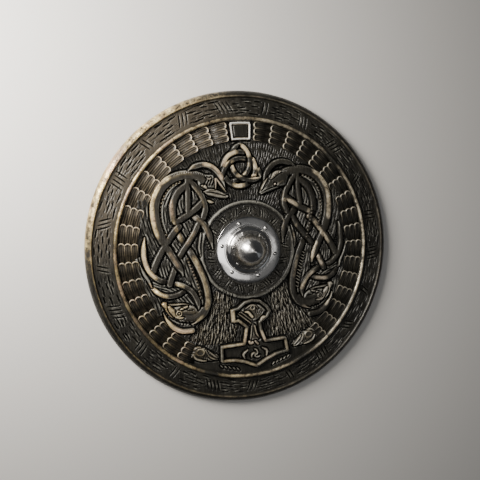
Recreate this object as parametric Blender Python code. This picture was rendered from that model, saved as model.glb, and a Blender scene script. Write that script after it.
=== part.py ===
"""A round Norse shield lying on its back: a carved wooden board, a hollow steel boss held by domed rivets,
and a wooden grip let in flush across the back of the hand hole. Metres, +Z out of the carved face,
+Y towards the top of the carving, origin at the centre of the flat back."""

import math

import bmesh
import bpy
from mathutils import Vector

# Driving sizes
BOARD_RADIUS = 0.400
FIT_GAP = 0.0003  # between pieces that touch

# Heights above the flat back
RIM_TOP = 0.0220
RIM_EDGE = 0.0090  # where the rim's bevel meets the outer edge
STROKE_BAND_TOP = 0.0168
RING_TOP = 0.0228
SCALE_BAND_FLOOR = 0.0122
SCALE_BAND_TOP = 0.0152
FIELD_TOP = 0.0112
INNER_RING_TOP = 0.0196
INNER_BAND_TOP = 0.0165

# Radii of the turned steps
RIM_INNER = 0.954 * BOARD_RADIUS
RIM_CREST = RIM_INNER + 0.0030
RING_OUTER = 0.841 * BOARD_RADIUS
RING_INNER = 0.812 * BOARD_RADIUS
FIELD_OUTER = 0.694 * BOARD_RADIUS
INNER_RING_OUTER = 0.318 * BOARD_RADIUS
INNER_RING_INNER = 0.291 * BOARD_RADIUS
HAND_HOLE_RADIUS = 0.050
BACK_CHAMFER = 0.0030
GROOVE = 0.0012
TURNED_STEPS = 56
MOULDING_POINTS = 4
BEVEL_SWELL = 0.75
CUT_BELOW = -0.0100  # cutters start this far under the back
CUT_ABOVE = 0.0400  # and end this far over the face

# Boss
FLANGE_RADIUS = 0.214 * BOARD_RADIUS
FLANGE_BOTTOM = INNER_BAND_TOP + FIT_GAP
PLATE = 0.0020
COLLAR_RADIUS = 0.0600
COLLAR_WALL = 0.0036
COLLAR_FILLET = 0.0022
SHOULDER_RADIUS = 0.0576
SHOULDER_HEIGHT = 0.0058
DOME_RADIUS = 0.0500
DOME_FOOT = 0.0094
DOME_RISE = 0.0476
DOME_POWER = 2.3  # 2 would be a parabola
NOSE_RISE = 0.0040
NOSE_RADIUS = 0.0090
BOSS_STEPS = 36
DOME_POINTS = 6
FLANGE_DRAFT = 0.0003
FILLET_SHARE = 0.3
INNER_FILLET_SHARE = 0.6

# Rivets
RIVET_COUNT = 6
RIVET_CIRCLE = 0.0715
RIVET_FIRST_ANGLE = math.radians(90.0 - 43.0)
RIVET_SHANK = 0.0024
RIVET_HEAD_RADIUS = 0.0052
RIVET_HEAD_RISE = 0.0034
RIVET_SIDES = 12
RIVET_TAIL = 0.0008  # the peened tail stays this far inside the back face
RIVET_TAIL_CHAMFER = 0.0006
RIVET_HEAD_EDGE = 0.0004

# Grip
GRIP_HALF_LENGTH = 0.0920
GRIP_END_HALF_WIDTH = 0.0150
GRIP_END_THICKNESS = 0.0090
GRIP_HAND_HALF_LENGTH = 0.0470
GRIP_HAND_HALF_WIDTH = 0.0130
GRIP_HAND_THICKNESS = 0.0170
GRIP_STATIONS = 6
GRIP_END_SOFTNESS = 0.0002
GRIP_HAND_SOFTNESS = 0.0060
GRIP_HOLE_HIGH = 0.0200
NAIL_SHANK = 0.0013
NAIL_HEAD_RADIUS = 0.0034
NAIL_HEAD_DEPTH = 0.0012
NAIL_LENGTH = 0.0140
NAIL_SIDES = 8
NAIL_EDGE = 0.0004
NAIL_POINT = 0.0020
NAIL_HOLE_LOW = 0.0040
TAPER_SHARE = 0.8  # how wide a chamfered end is beside its shank or head
NAIL_PLACES = ((0.0070, 0.0600), (-0.0070, 0.0800))

# Carved strands
STRAND_FOOT = FIELD_TOP - 0.0030
STRAND_OVER = FIELD_TOP + 0.0092
STRAND_UNDER = FIELD_TOP + 0.0062
STRAND_CREST = 0.62  # width of a strand's top, as a share of its foot
STATION_STEP = 0.025
CROSSING_REACH = 0.024
TOP_STAGGER = 0.00007  # keeps any two strands' tops from lying level
HEAD_RISE = 0.0009

# The left-hand beast: each strand's width, then the points its middle runs through, as shares of the radius
BEAST = {
    "neck": (0.056, ((-0.225, 0.447), (-0.300, 0.487), (-0.390, 0.497), (-0.475, 0.468), (-0.535, 0.410),
                     (-0.570, 0.330), (-0.576, 0.250), (-0.562, 0.170), (-0.532, 0.090), (-0.497, 0.025),
                     (-0.463, -0.040), (-0.437, -0.100), (-0.408, -0.180))),
    "spine": (0.042, ((-0.385, 0.440), (-0.437, 0.375), (-0.464, 0.305), (-0.464, 0.230), (-0.447, 0.155),
                      (-0.413, 0.085), (-0.374, 0.015), (-0.338, -0.060), (-0.308, -0.140), (-0.290, -0.220),
                      (-0.288, -0.300), (-0.318, -0.370), (-0.372, -0.418), (-0.430, -0.436))),
    "cross_low": (0.036, ((-0.315, 0.190), (-0.345, 0.135), (-0.385, 0.080), (-0.425, 0.030),
                          (-0.455, -0.020), (-0.482, -0.075), (-0.506, -0.130), (-0.520, -0.168))),
    "cross_high": (0.040, ((-0.435, 0.185), (-0.470, 0.150), (-0.520, 0.085), (-0.565, 0.020),
                           (-0.598, -0.040), (-0.612, -0.072))),
    "hook": (0.036, ((-0.345, 0.465), (-0.300, 0.400), (-0.270, 0.340), (-0.262, 0.280), (-0.282, 0.225))),
    "post": (0.032, ((-0.362, 0.470), (-0.366, 0.385), (-0.380, 0.310), (-0.392, 0.255))),
    "bar": (0.034, ((-0.458, 0.212), (-0.400, 0.245), (-0.345, 0.272), (-0.295, 0.305), (-0.258, 0.350))),
    "tail": (0.038, ((-0.380, 0.280), (-0.330, 0.240), (-0.285, 0.195), (-0.255, 0.140), (-0.240, 0.080),
                     (-0.236, 0.040))),
    "loop": (0.030, ((-0.640, 0.125), (-0.656, 0.060), (-0.655, -0.010), (-0.632, -0.075), (-0.590, -0.125),
                     (-0.540, -0.150), (-0.485, -0.165), (-0.425, -0.192), (-0.378, -0.238), (-0.352, -0.300),
                     (-0.352, -0.350))),
    "flank": (0.030, ((-0.630, -0.150), (-0.610, -0.195), (-0.560, -0.232), (-0.500, -0.238),
                      (-0.440, -0.222), (-0.395, -0.190))),
    "jaw": (0.034, ((-0.572, -0.283), (-0.535, -0.305), (-0.505, -0.350), (-0.485, -0.388), (-0.440, -0.402),
                    (-0.390, -0.395), (-0.350, -0.360))),
    "low_crest": (0.030, ((-0.585, -0.345), (-0.555, -0.405), (-0.500, -0.452), (-0.435, -0.476),
                          (-0.375, -0.465))),
    "high_crest": (0.034, ((-0.350, 0.522), (-0.300, 0.545), (-0.250, 0.552), (-0.205, 0.538),
                           (-0.168, 0.505), (-0.142, 0.460), (-0.126, 0.400))),
}
BEAST_HEAD = ((-0.300, 0.470), (-0.240, 0.492), (-0.185, 0.480), (-0.108, 0.352), (-0.175, 0.342),
              (-0.260, 0.362), (-0.290, 0.410))

# Triquetra
KNOT_CENTRE = (-0.015, 0.530)
KNOT_TIP = 0.142
KNOT_RING = 0.106
KNOT_WIDTH = 0.031
KNOT_RING_SHARE = 0.9  # the ring's width beside an arc's
KNOT_ARC_LEVEL = STRAND_UNDER + 0.0015
KNOT_ARC_WAVE = 0.0018
KNOT_ARC_STAGGER = 0.00011
KNOT_RING_LEVEL = STRAND_UNDER + 0.0012
KNOT_RING_WAVE = 0.0011
KNOT_RING_STEPS = 18
KNOT_ARC_STATIONS = 8

# Hammer: the middle line of its raised outline, from the foot of the shaft round by the pommel
HAMMER = ((-0.074, -0.616), (-0.055, -0.500), (-0.103, -0.447), (-0.128, -0.447), (-0.128, -0.378),
          (-0.085, -0.372), (-0.050, -0.336), (0.000, -0.326), (0.050, -0.338), (0.092, -0.378),
          (0.112, -0.412), (0.090, -0.447), (0.042, -0.480), (0.048, -0.530), (0.076, -0.616),
          (0.214, -0.614), (0.228, -0.700), (0.140, -0.708), (0.075, -0.732), (0.000, -0.772),
          (-0.075, -0.732), (-0.140, -0.712), (-0.228, -0.700), (-0.222, -0.614))
HAMMER_WIDTH = 0.024
HAMMER_PLATE_TOP = SCALE_BAND_TOP + 0.0006
HAMMER_RIDGE_TOP = SCALE_BAND_TOP + 0.0050
HAMMER_PLATE_FOOT = STRAND_FOOT - 0.0004

# Serpent heads at the lower ends of the scale band: middle, long and short half axes, turn
SERPENT_HEADS = ((-0.332, -0.655, 0.088, 0.040, -20.0), (0.352, -0.645, 0.088, 0.040, 22.0))
SERPENT_HEAD_TOP = SCALE_BAND_TOP + 0.0036
SERPENT_HEAD_STEPS = 12
PLAQUE_EDGE = 0.0008
PLAQUE_TOP = SCALE_BAND_TOP + 0.0031
PLAQUE_HALF_ANGLE = math.radians(5.2)


def clear_scene():
    for existing in list(bpy.data.objects):
        bpy.data.objects.remove(existing, do_unlink=True)


def finish(name, red, green, blue, roughness, metallic):
    material = bpy.data.materials.new(name)
    material.use_nodes = True
    shader = material.node_tree.nodes["Principled BSDF"]
    shader.inputs["Base Color"].default_value = (red, green, blue, 1.0)
    shader.inputs["Roughness"].default_value = roughness
    shader.inputs["Metallic"].default_value = metallic
    return material


def add_object(name, mesh_builder, material):
    mesh = bpy.data.meshes.new(name)
    bmesh.ops.recalc_face_normals(mesh_builder, faces=mesh_builder.faces)
    mesh_builder.to_mesh(mesh)
    mesh_builder.free()
    mesh.materials.append(material)
    mesh.shade_smooth()
    mesh.set_sharp_from_angle(angle=math.radians(35.0))
    added = bpy.data.objects.new(name, mesh)
    bpy.context.scene.collection.objects.link(added)
    return added


def as_cutter(guide, group):
    """Hides a guide and moves it from the scene's collection into the group that a Boolean reads."""
    guide.hide_render = True
    guide.display_type = "WIRE"
    bpy.context.scene.collection.objects.unlink(guide)
    group.objects.link(guide)


def turned(mesh_builder, profile, steps, closed):
    """Turns a profile of (radius, height) about Z. An open profile starts and ends on the axis."""
    rings = []
    for radius, height in profile:
        if radius == 0.0:
            rings.append([mesh_builder.verts.new((0.0, 0.0, height))])
            continue
        angles = [math.tau * step / steps for step in range(steps)]
        rings.append([
            mesh_builder.verts.new((radius * math.cos(a), radius * math.sin(a), height)) for a in angles
        ])
    pairs = list(zip(rings, rings[1:]))
    if closed:
        pairs.append((rings[-1], rings[0]))
    for first, second in pairs:
        for step in range(steps):
            after = (step + 1) % steps
            corners = [first[step % len(first)], first[after % len(first)],
                       second[after % len(second)], second[step % len(second)]]
            mesh_builder.faces.new(list(dict.fromkeys(corners)))


def arch(inner, outer, foot, top, points):
    """A half-round moulding's profile from its outer foot to its inner foot."""
    middle = (inner + outer) / 2
    half = (outer - inner) / 2
    return [
        (middle + half * math.cos(math.pi * k / points), foot + (top - foot) * math.sin(math.pi * k / points))
        for k in range(points + 1)
    ]


def bevel(points):
    """The rim's profile from the outer edge up a swelling bevel to its crest, then down to its inner foot."""
    profile = []
    for k in range(points, -1, -1):
        fall = math.sin(math.pi / 2 * k / points)
        height = RIM_EDGE + (RIM_TOP - RIM_EDGE) * max(0.0, 1 - fall ** 2) ** BEVEL_SWELL
        profile.append((RIM_CREST + (BOARD_RADIUS - RIM_CREST) * fall, height))
    return profile + [(RIM_INNER, STROKE_BAND_TOP - GROOVE)]


def board_profile():
    profile = [
        (HAND_HOLE_RADIUS, 0.0),
        (BOARD_RADIUS - BACK_CHAMFER, 0.0),
        (BOARD_RADIUS, BACK_CHAMFER),
    ]
    profile += bevel(MOULDING_POINTS)
    profile += [(RIM_INNER - GROOVE, STROKE_BAND_TOP), (RING_OUTER + GROOVE, STROKE_BAND_TOP)]
    profile += arch(RING_INNER, RING_OUTER, STROKE_BAND_TOP - GROOVE, RING_TOP, MOULDING_POINTS)
    profile += [
        (RING_INNER - GROOVE, SCALE_BAND_FLOOR),
        (RING_INNER - 3 * GROOVE, SCALE_BAND_TOP),
        (FIELD_OUTER + 3 * GROOVE, SCALE_BAND_TOP),
        (FIELD_OUTER + GROOVE, SCALE_BAND_FLOOR),
        (FIELD_OUTER - GROOVE, FIELD_TOP),
        (INNER_RING_OUTER + GROOVE, FIELD_TOP),
    ]
    profile += arch(INNER_RING_INNER, INNER_RING_OUTER, INNER_BAND_TOP - GROOVE, INNER_RING_TOP,
                    MOULDING_POINTS)
    profile += [(INNER_RING_INNER - GROOVE, INNER_BAND_TOP), (HAND_HOLE_RADIUS, INNER_BAND_TOP)]
    return profile


def smooth_path(points, step, closed=False):
    """Evenly spaced points on a Catmull-Rom curve through the given ones, all in metres."""
    knots = [Vector(p) for p in points]
    if closed:
        knots = [knots[-1]] + knots + [knots[0], knots[1]]
    else:
        knots = [2 * knots[0] - knots[1]] + knots + [2 * knots[-1] - knots[-2]]
    fine = []
    for a, b, c, d in zip(knots, knots[1:], knots[2:], knots[3:]):
        for k in range(12):
            t = k / 12
            fine.append(0.5 * (2 * b + (c - a) * t + (2 * a - 5 * b + 4 * c - d) * t * t
                               + (3 * b - a - 3 * c + d) * t * t * t))
    if not closed:
        fine.append(knots[-2].copy())
    loop = fine + [fine[0]] if closed else fine
    lengths = [0.0]
    for a, b in zip(loop, loop[1:]):
        lengths.append(lengths[-1] + (b - a).length)
    count = max(2, round(lengths[-1] / step))
    even = []
    spot = 0
    for k in range(count if closed else count + 1):
        wanted = lengths[-1] * k / count
        while spot < len(loop) - 2 and lengths[spot + 1] < wanted:
            spot += 1
        share = (wanted - lengths[spot]) / (lengths[spot + 1] - lengths[spot])
        even.append(loop[spot].lerp(loop[spot + 1], share))
    return even


def crossing_places(path, other):
    """Where two polylines cross, as (distance along path, distance along other)."""
    found = []
    run = 0.0
    for a, b in zip(path, path[1:]):
        other_run = 0.0
        for c, d in zip(other, other[1:]):
            along, across = b - a, d - c
            turn = along.cross(across)
            if abs(turn) > 1e-12:
                s = (c - a).cross(across) / turn
                t = (c - a).cross(along) / turn
                if 0 <= s < 1 and 0 <= t < 1:
                    found.append((run + s * along.length, other_run + t * across.length))
            other_run += (d - c).length
        run += (b - a).length
    return found


def weave(paths):
    """Alternates over and under along each strand; of two that disagree, the one listed first decides."""
    names = list(paths)
    meetings = []
    for i, first in enumerate(names):
        for second in names[i + 1:]:
            for place, other_place in crossing_places(paths[first], paths[second]):
                meetings.append([first, place, second, other_place, 0])
    for name in names:
        own = [m for m in meetings if name in (m[0], m[2])]
        own.sort(key=lambda m: m[1] if m[0] == name else m[3])
        level = 1
        for k, meeting in enumerate(own):
            if meeting[4]:
                on_top = meeting[4] if meeting[0] == name else -meeting[4]
                level = on_top if k % 2 == 0 else -on_top
                break
        for k, meeting in enumerate(own):
            wanted = level if k % 2 == 0 else -level
            if not meeting[4]:
                meeting[4] = wanted if meeting[0] == name else -wanted
    dips = {name: [] for name in names}
    for first, place, second, other_place, level in meetings:
        if level > 0:
            dips[second].append(other_place)
        else:
            dips[first].append(place)
    return dips


def strand_solid(name, path, width, tops, closed, material):
    """A strand's solid: a trapezoid section swept along its path, with a top height at each station."""
    builder = bmesh.new()
    sections = []
    count = len(path)
    for k, point in enumerate(path):
        before = path[(k - 1) % count] if closed or k > 0 else point
        after = path[(k + 1) % count] if closed or k < count - 1 else point
        ahead = (after - before).normalized()
        side = Vector((-ahead.y, ahead.x)) * width / 2
        crest = side * STRAND_CREST
        sections.append([
            builder.verts.new((point.x + side.x, point.y + side.y, STRAND_FOOT)),
            builder.verts.new((point.x + crest.x, point.y + crest.y, tops[k])),
            builder.verts.new((point.x - crest.x, point.y - crest.y, tops[k])),
            builder.verts.new((point.x - side.x, point.y - side.y, STRAND_FOOT)),
        ])
    pairs = list(zip(sections, sections[1:]))
    if closed:
        pairs.append((sections[-1], sections[0]))
    for first, second in pairs:
        for k in range(4):
            j = (k + 1) % 4
            builder.faces.new((first[k], first[j], second[j], second[k]))
    if not closed:
        builder.faces.new(sections[0])
        builder.faces.new(sections[-1][::-1])
    return add_object(name, builder, material)


def woven_strands(strands, material, group, sign=1, tag=""):
    """Builds every strand of one design, dipping where it passes under another. sign -1 mirrors it in X."""
    scaled = {
        name: [(sign * x * BOARD_RADIUS, y * BOARD_RADIUS) for x, y in points]
        for name, (_, points) in strands.items()
    }
    paths = {name: smooth_path(points, STATION_STEP) for name, points in scaled.items()}
    dips = weave(paths)
    for k, (name, path) in enumerate(paths.items()):
        tops = []
        run = 0.0
        for here, before in zip(path, [path[0]] + path):
            run += (here - before).length
            near = min([abs(run - dip) for dip in dips[name]], default=1.0)
            share = min(1.0, near / CROSSING_REACH)
            top = STRAND_UNDER + (STRAND_OVER - STRAND_UNDER) * share
            tops.append(top + TOP_STAGGER * k)
        guide = strand_solid(tag + name, path, strands[name][0] * BOARD_RADIUS, tops, False, material)
        as_cutter(guide, group)


def plate_solid(name, outline, foot, top, material):
    """A flat-topped block with the given outline."""
    builder = bmesh.new()
    low = [builder.verts.new((x, y, foot)) for x, y in outline]
    high = [builder.verts.new((x, y, top)) for x, y in outline]
    builder.faces.new(low[::-1])
    builder.faces.new(high)
    for k in range(len(outline)):
        j = (k + 1) % len(outline)
        builder.faces.new((low[k], low[j], high[j], high[k]))
    return add_object(name, builder, material)


def carve_heads(material, group):
    for sign, side in ((1, "left"), (-1, "right")):
        outline = [(sign * x * BOARD_RADIUS, y * BOARD_RADIUS) for x, y in BEAST_HEAD]
        as_cutter(plate_solid(side + "_head", outline, STRAND_FOOT, STRAND_OVER + HEAD_RISE, material), group)
    for k, (x, y, long_half, short_half, turn) in enumerate(SERPENT_HEADS):
        angle = math.radians(turn)
        outline = []
        for step in range(SERPENT_HEAD_STEPS):
            around = math.tau * step / SERPENT_HEAD_STEPS
            along = long_half * math.cos(around)
            across = short_half * math.sin(around)
            outline.append((
                (x + along * math.cos(angle) - across * math.sin(angle)) * BOARD_RADIUS,
                (y + along * math.sin(angle) + across * math.cos(angle)) * BOARD_RADIUS,
            ))
        head = plate_solid(f"serpent_head_{k}", outline, STRAND_FOOT, SERPENT_HEAD_TOP, material)
        as_cutter(head, group)


def carve_plaque(material, group):
    """The plain plaque where the two serpents' tails meet, at the top of the scale band."""
    inner = FIELD_OUTER + PLAQUE_EDGE
    outer = RING_INNER - PLAQUE_EDGE
    sides = (-PLAQUE_HALF_ANGLE, PLAQUE_HALF_ANGLE)
    outline = [(inner * math.sin(a), inner * math.cos(a)) for a in sides]
    outline += [(outer * math.sin(a), outer * math.cos(a)) for a in sides[::-1]]
    as_cutter(plate_solid("plaque", outline, STRAND_FOOT, PLAQUE_TOP, material), group)


def carve_triquetra(material, group):
    """Three half circles whose ends meet in three tips, laced through a ring."""
    middle = Vector(KNOT_CENTRE) * BOARD_RADIUS
    tip = KNOT_TIP * BOARD_RADIUS
    width = KNOT_WIDTH * BOARD_RADIUS
    for k in range(3):
        away = math.radians(270.0 + 120.0 * k)
        centre = middle + Vector((math.cos(away), math.sin(away))) * tip / 2
        path = []
        tops = []
        for step in range(KNOT_ARC_STATIONS):
            share = step / (KNOT_ARC_STATIONS - 1)
            around = away + math.pi / 2 + math.pi * share
            path.append(centre + Vector((math.cos(around), math.sin(around))) * tip * math.sqrt(0.75))
            tops.append(KNOT_ARC_LEVEL + KNOT_ARC_WAVE * math.cos(math.tau * share) + KNOT_ARC_STAGGER * k)
        as_cutter(strand_solid(f"knot_arc_{k}", path, width, tops, False, material), group)
    around = [math.tau * step / KNOT_RING_STEPS for step in range(KNOT_RING_STEPS)]
    path = [middle + Vector((math.cos(a), math.sin(a))) * KNOT_RING * BOARD_RADIUS for a in around]
    tops = [KNOT_RING_LEVEL + KNOT_RING_WAVE * math.sin(3 * a) for a in around]
    as_cutter(strand_solid("knot_ring", path, width * KNOT_RING_SHARE, tops, True, material), group)


def carve_hammer(material, group):
    outline = [Vector(point) * BOARD_RADIUS for point in HAMMER]
    tops = [HAMMER_RIDGE_TOP] * len(outline)
    ridge = strand_solid("hammer_ridge", outline, HAMMER_WIDTH * BOARD_RADIUS, tops, True, material)
    plate = plate_solid("hammer_plate", outline[::-1], HAMMER_PLATE_FOOT, HAMMER_PLATE_TOP, material)
    as_cutter(ridge, group)
    as_cutter(plate, group)


def rivet_places():
    angles = [RIVET_FIRST_ANGLE - math.tau * k / RIVET_COUNT for k in range(RIVET_COUNT)]
    return [(RIVET_CIRCLE * math.cos(a), RIVET_CIRCLE * math.sin(a)) for a in angles]


def nail_places():
    return [(sign * x, sign * y) for x, y in NAIL_PLACES for sign in (1, -1)]


def post_cutter(name, place, radius, low, high, sides, group):
    builder = bmesh.new()
    turned(builder, [(0.0, low), (radius, low), (radius, high), (0.0, high)], sides, False)
    bmesh.ops.translate(builder, verts=builder.verts, vec=(*place, 0.0))
    as_cutter(add_object(name, builder, bpy.data.materials["cutter"]), group)


def block_cutter(name, half_x, half_y, low, high, group):
    outline = [(-half_x, -half_y), (half_x, -half_y), (half_x, half_y), (-half_x, half_y)]
    as_cutter(plate_solid(name, outline, low, high, bpy.data.materials["cutter"]), group)


def add_boolean(target, operation, group):
    cut = target.modifiers.new(operation.lower(), "BOOLEAN")
    cut.operation = operation
    cut.solver = "EXACT"
    cut.operand_type = "COLLECTION"
    cut.collection = group


def make_board():
    wood = finish("carved_wood", 0.060, 0.048, 0.034, 0.55, 0.0)
    carving = bpy.data.collections.new("carving")
    hollows = bpy.data.collections.new("board_hollows")
    builder = bmesh.new()
    turned(builder, board_profile(), TURNED_STEPS, True)
    board = add_object("board", builder, wood)
    woven_strands(BEAST, wood, carving, 1, "left_")
    woven_strands(BEAST, wood, carving, -1, "right_")
    carve_heads(wood, carving)
    carve_plaque(wood, carving)
    carve_triquetra(wood, carving)
    carve_hammer(wood, carving)
    add_boolean(board, "UNION", carving)
    block_cutter("housing", GRIP_END_HALF_WIDTH + FIT_GAP, GRIP_HALF_LENGTH + FIT_GAP, CUT_BELOW,
                 GRIP_END_THICKNESS + 2 * FIT_GAP, hollows)
    for k, place in enumerate(rivet_places()):
        post_cutter(f"rivet_hole_{k}", place, RIVET_SHANK + FIT_GAP, CUT_BELOW, CUT_ABOVE, RIVET_SIDES,
                    hollows)
    for k, place in enumerate(nail_places()):
        post_cutter(f"nail_hole_{k}", place, NAIL_SHANK + FIT_GAP, NAIL_HOLE_LOW, NAIL_LENGTH + 2 * FIT_GAP,
                    NAIL_SIDES, hollows)
    add_boolean(board, "DIFFERENCE", hollows)


def dome_outline(radius, foot, rise, points):
    """From the apex down to the foot: a slight nose on a full round shell."""
    outline = []
    for k in range(points + 1):
        here = radius * (k / points) ** 0.8
        shell = rise * (1 - (here / radius) ** DOME_POWER)
        nose = NOSE_RISE * math.exp(-(here / NOSE_RADIUS) ** 2)
        outline.append((here, foot + shell + nose))
    return outline


def make_boss():
    steel = finish("polished_steel", 0.66, 0.65, 0.64, 0.16, 1.0)
    holes = bpy.data.collections.new("flange_holes")
    flange_top = FLANGE_BOTTOM + PLATE
    profile = dome_outline(DOME_RADIUS, flange_top + DOME_FOOT, DOME_RISE, DOME_POINTS)
    profile += [
        (SHOULDER_RADIUS, flange_top + SHOULDER_HEIGHT),
        (COLLAR_RADIUS, flange_top + COLLAR_WALL),
        (COLLAR_RADIUS, flange_top + COLLAR_FILLET),
        (COLLAR_RADIUS + COLLAR_FILLET * FILLET_SHARE, flange_top + COLLAR_FILLET * FILLET_SHARE),
        (COLLAR_RADIUS + COLLAR_FILLET, flange_top),
        (FLANGE_RADIUS - PLATE / 2, flange_top),
        (FLANGE_RADIUS, flange_top - PLATE / 2),
        (FLANGE_RADIUS - FLANGE_DRAFT, FLANGE_BOTTOM),
        (COLLAR_RADIUS - PLATE + COLLAR_FILLET * INNER_FILLET_SHARE, FLANGE_BOTTOM),
        (COLLAR_RADIUS - PLATE, FLANGE_BOTTOM + COLLAR_FILLET * INNER_FILLET_SHARE),
        (COLLAR_RADIUS - PLATE, flange_top + COLLAR_WALL - PLATE),
        (SHOULDER_RADIUS - PLATE, flange_top + SHOULDER_HEIGHT - PLATE),
    ]
    inner_foot = flange_top + DOME_FOOT - PLATE
    inner = dome_outline(DOME_RADIUS - PLATE, inner_foot, DOME_RISE, DOME_POINTS)
    profile += inner[::-1]
    builder = bmesh.new()
    turned(builder, profile, BOSS_STEPS, False)
    boss = add_object("boss", builder, steel)
    for k, place in enumerate(rivet_places()):
        post_cutter(f"flange_hole_{k}", place, RIVET_SHANK + FIT_GAP, 0.0, CUT_ABOVE, RIVET_SIDES, holes)
    add_boolean(boss, "DIFFERENCE", holes)


def make_rivets():
    steel = finish("rivet_steel", 0.62, 0.61, 0.60, 0.22, 1.0)
    foot = FLANGE_BOTTOM + PLATE + FIT_GAP
    profile = [(0.0, RIVET_TAIL), (RIVET_SHANK * TAPER_SHARE, RIVET_TAIL),
               (RIVET_SHANK, RIVET_TAIL + RIVET_TAIL_CHAMFER), (RIVET_SHANK, foot), (RIVET_HEAD_RADIUS, foot)]
    for k in range(1, 4):
        turn = math.pi / 2 * k / 3
        radius = RIVET_HEAD_RADIUS * math.cos(turn) if k < 3 else 0.0
        profile.append((radius, foot + RIVET_HEAD_EDGE + RIVET_HEAD_RISE * math.sin(turn)))
    for k, (x, y) in enumerate(rivet_places()):
        builder = bmesh.new()
        turned(builder, profile, RIVET_SIDES, False)
        rivet = add_object(f"boss_rivet_{k + 1}", builder, steel)
        rivet.location = (x, y, 0.0)


def grip_section(y):
    """Half width, thickness and edge rounding of the bar at a place along its length."""
    share = min(1.0, abs(y) / GRIP_HAND_HALF_LENGTH)
    ease = 0.5 + 0.5 * math.cos(math.pi * share)
    half_width = GRIP_END_HALF_WIDTH + (GRIP_HAND_HALF_WIDTH - GRIP_END_HALF_WIDTH) * ease
    thickness = GRIP_END_THICKNESS + (GRIP_HAND_THICKNESS - GRIP_END_THICKNESS) * ease
    softness = GRIP_END_SOFTNESS + (GRIP_HAND_SOFTNESS - GRIP_END_SOFTNESS) * ease
    return half_width, thickness, softness


def make_grip():
    wood = finish("grip_wood", 0.110, 0.072, 0.044, 0.60, 0.0)
    holes = bpy.data.collections.new("grip_holes")
    stations = [-GRIP_HALF_LENGTH, GRIP_HALF_LENGTH]
    stations += [GRIP_HAND_HALF_LENGTH * (2 * k / GRIP_STATIONS - 1) for k in range(GRIP_STATIONS + 1)]
    builder = bmesh.new()
    sections = []
    for y in sorted(stations):
        half, thick, soft = grip_section(y)
        low = FIT_GAP
        high = FIT_GAP + thick
        small = soft * FILLET_SHARE
        outline = [(half, low + soft), (half, high - soft), (half - small, high - small),
                   (half - soft, high), (soft - half, high), (small - half, high - small),
                   (-half, high - soft), (-half, low + soft), (small - half, low + small),
                   (soft - half, low), (half - soft, low), (half - small, low + small)]
        sections.append([builder.verts.new((x, y, z)) for x, z in outline])
    for first, second in zip(sections, sections[1:]):
        for k in range(12):
            j = (k + 1) % 12
            builder.faces.new((first[k], first[j], second[j], second[k]))
    builder.faces.new(sections[0])
    builder.faces.new(sections[-1][::-1])
    grip = add_object("grip", builder, wood)
    for k, place in enumerate(nail_places()):
        builder = bmesh.new()
        head = NAIL_HEAD_RADIUS + FIT_GAP
        shank = NAIL_SHANK + FIT_GAP
        depth = FIT_GAP + NAIL_HEAD_DEPTH + FIT_GAP
        profile = [(0.0, CUT_BELOW), (head, CUT_BELOW), (head, depth), (shank, depth),
                   (shank, GRIP_HOLE_HIGH), (0.0, GRIP_HOLE_HIGH)]
        turned(builder, profile, NAIL_SIDES, False)
        bmesh.ops.translate(builder, verts=builder.verts, vec=(*place, 0.0))
        as_cutter(add_object(f"grip_hole_{k}", builder, wood), holes)
    add_boolean(grip, "DIFFERENCE", holes)


def make_nails():
    iron = finish("nail_iron", 0.16, 0.15, 0.14, 0.45, 1.0)
    head_top = FIT_GAP + NAIL_HEAD_DEPTH
    profile = [(0.0, FIT_GAP), (NAIL_HEAD_RADIUS * TAPER_SHARE, FIT_GAP),
               (NAIL_HEAD_RADIUS, FIT_GAP + NAIL_EDGE), (NAIL_HEAD_RADIUS, head_top), (NAIL_SHANK, head_top),
               (NAIL_SHANK, NAIL_LENGTH - NAIL_POINT), (0.0, NAIL_LENGTH)]
    for k, (x, y) in enumerate(nail_places()):
        builder = bmesh.new()
        turned(builder, profile, NAIL_SIDES, False)
        nail = add_object(f"grip_nail_{k + 1}", builder, iron)
        nail.location = (x, y, 0.0)


def main():
    clear_scene()
    finish("cutter", 0.5, 0.5, 0.5, 0.5, 0.0)
    make_board()
    make_boss()
    make_rivets()
    make_grip()
    make_nails()


main()
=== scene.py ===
import math

import bmesh
import bpy
import numpy as np
from mathutils import Matrix, Vector


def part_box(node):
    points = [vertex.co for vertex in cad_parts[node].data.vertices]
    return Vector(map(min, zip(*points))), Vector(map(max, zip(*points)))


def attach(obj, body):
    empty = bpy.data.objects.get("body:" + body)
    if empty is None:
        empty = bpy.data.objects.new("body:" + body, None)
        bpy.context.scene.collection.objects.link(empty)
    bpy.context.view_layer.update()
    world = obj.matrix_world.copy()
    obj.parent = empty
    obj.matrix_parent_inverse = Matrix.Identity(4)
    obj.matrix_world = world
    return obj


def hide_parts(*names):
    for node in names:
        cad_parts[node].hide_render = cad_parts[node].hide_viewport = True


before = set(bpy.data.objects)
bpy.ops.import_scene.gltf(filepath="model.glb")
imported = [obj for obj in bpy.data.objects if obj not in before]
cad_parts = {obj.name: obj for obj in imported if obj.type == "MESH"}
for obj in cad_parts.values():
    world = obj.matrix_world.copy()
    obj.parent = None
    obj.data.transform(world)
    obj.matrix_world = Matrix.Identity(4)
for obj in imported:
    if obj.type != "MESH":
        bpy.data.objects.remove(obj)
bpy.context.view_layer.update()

MM = 0.001

# The board, in metres: its back lies on the floor at z = 0 and +Y is the top of the carving
BOARD_LOW, BOARD_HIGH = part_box("board")
R = round((BOARD_HIGH.x - BOARD_LOW.x) / 2, 3)
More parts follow.
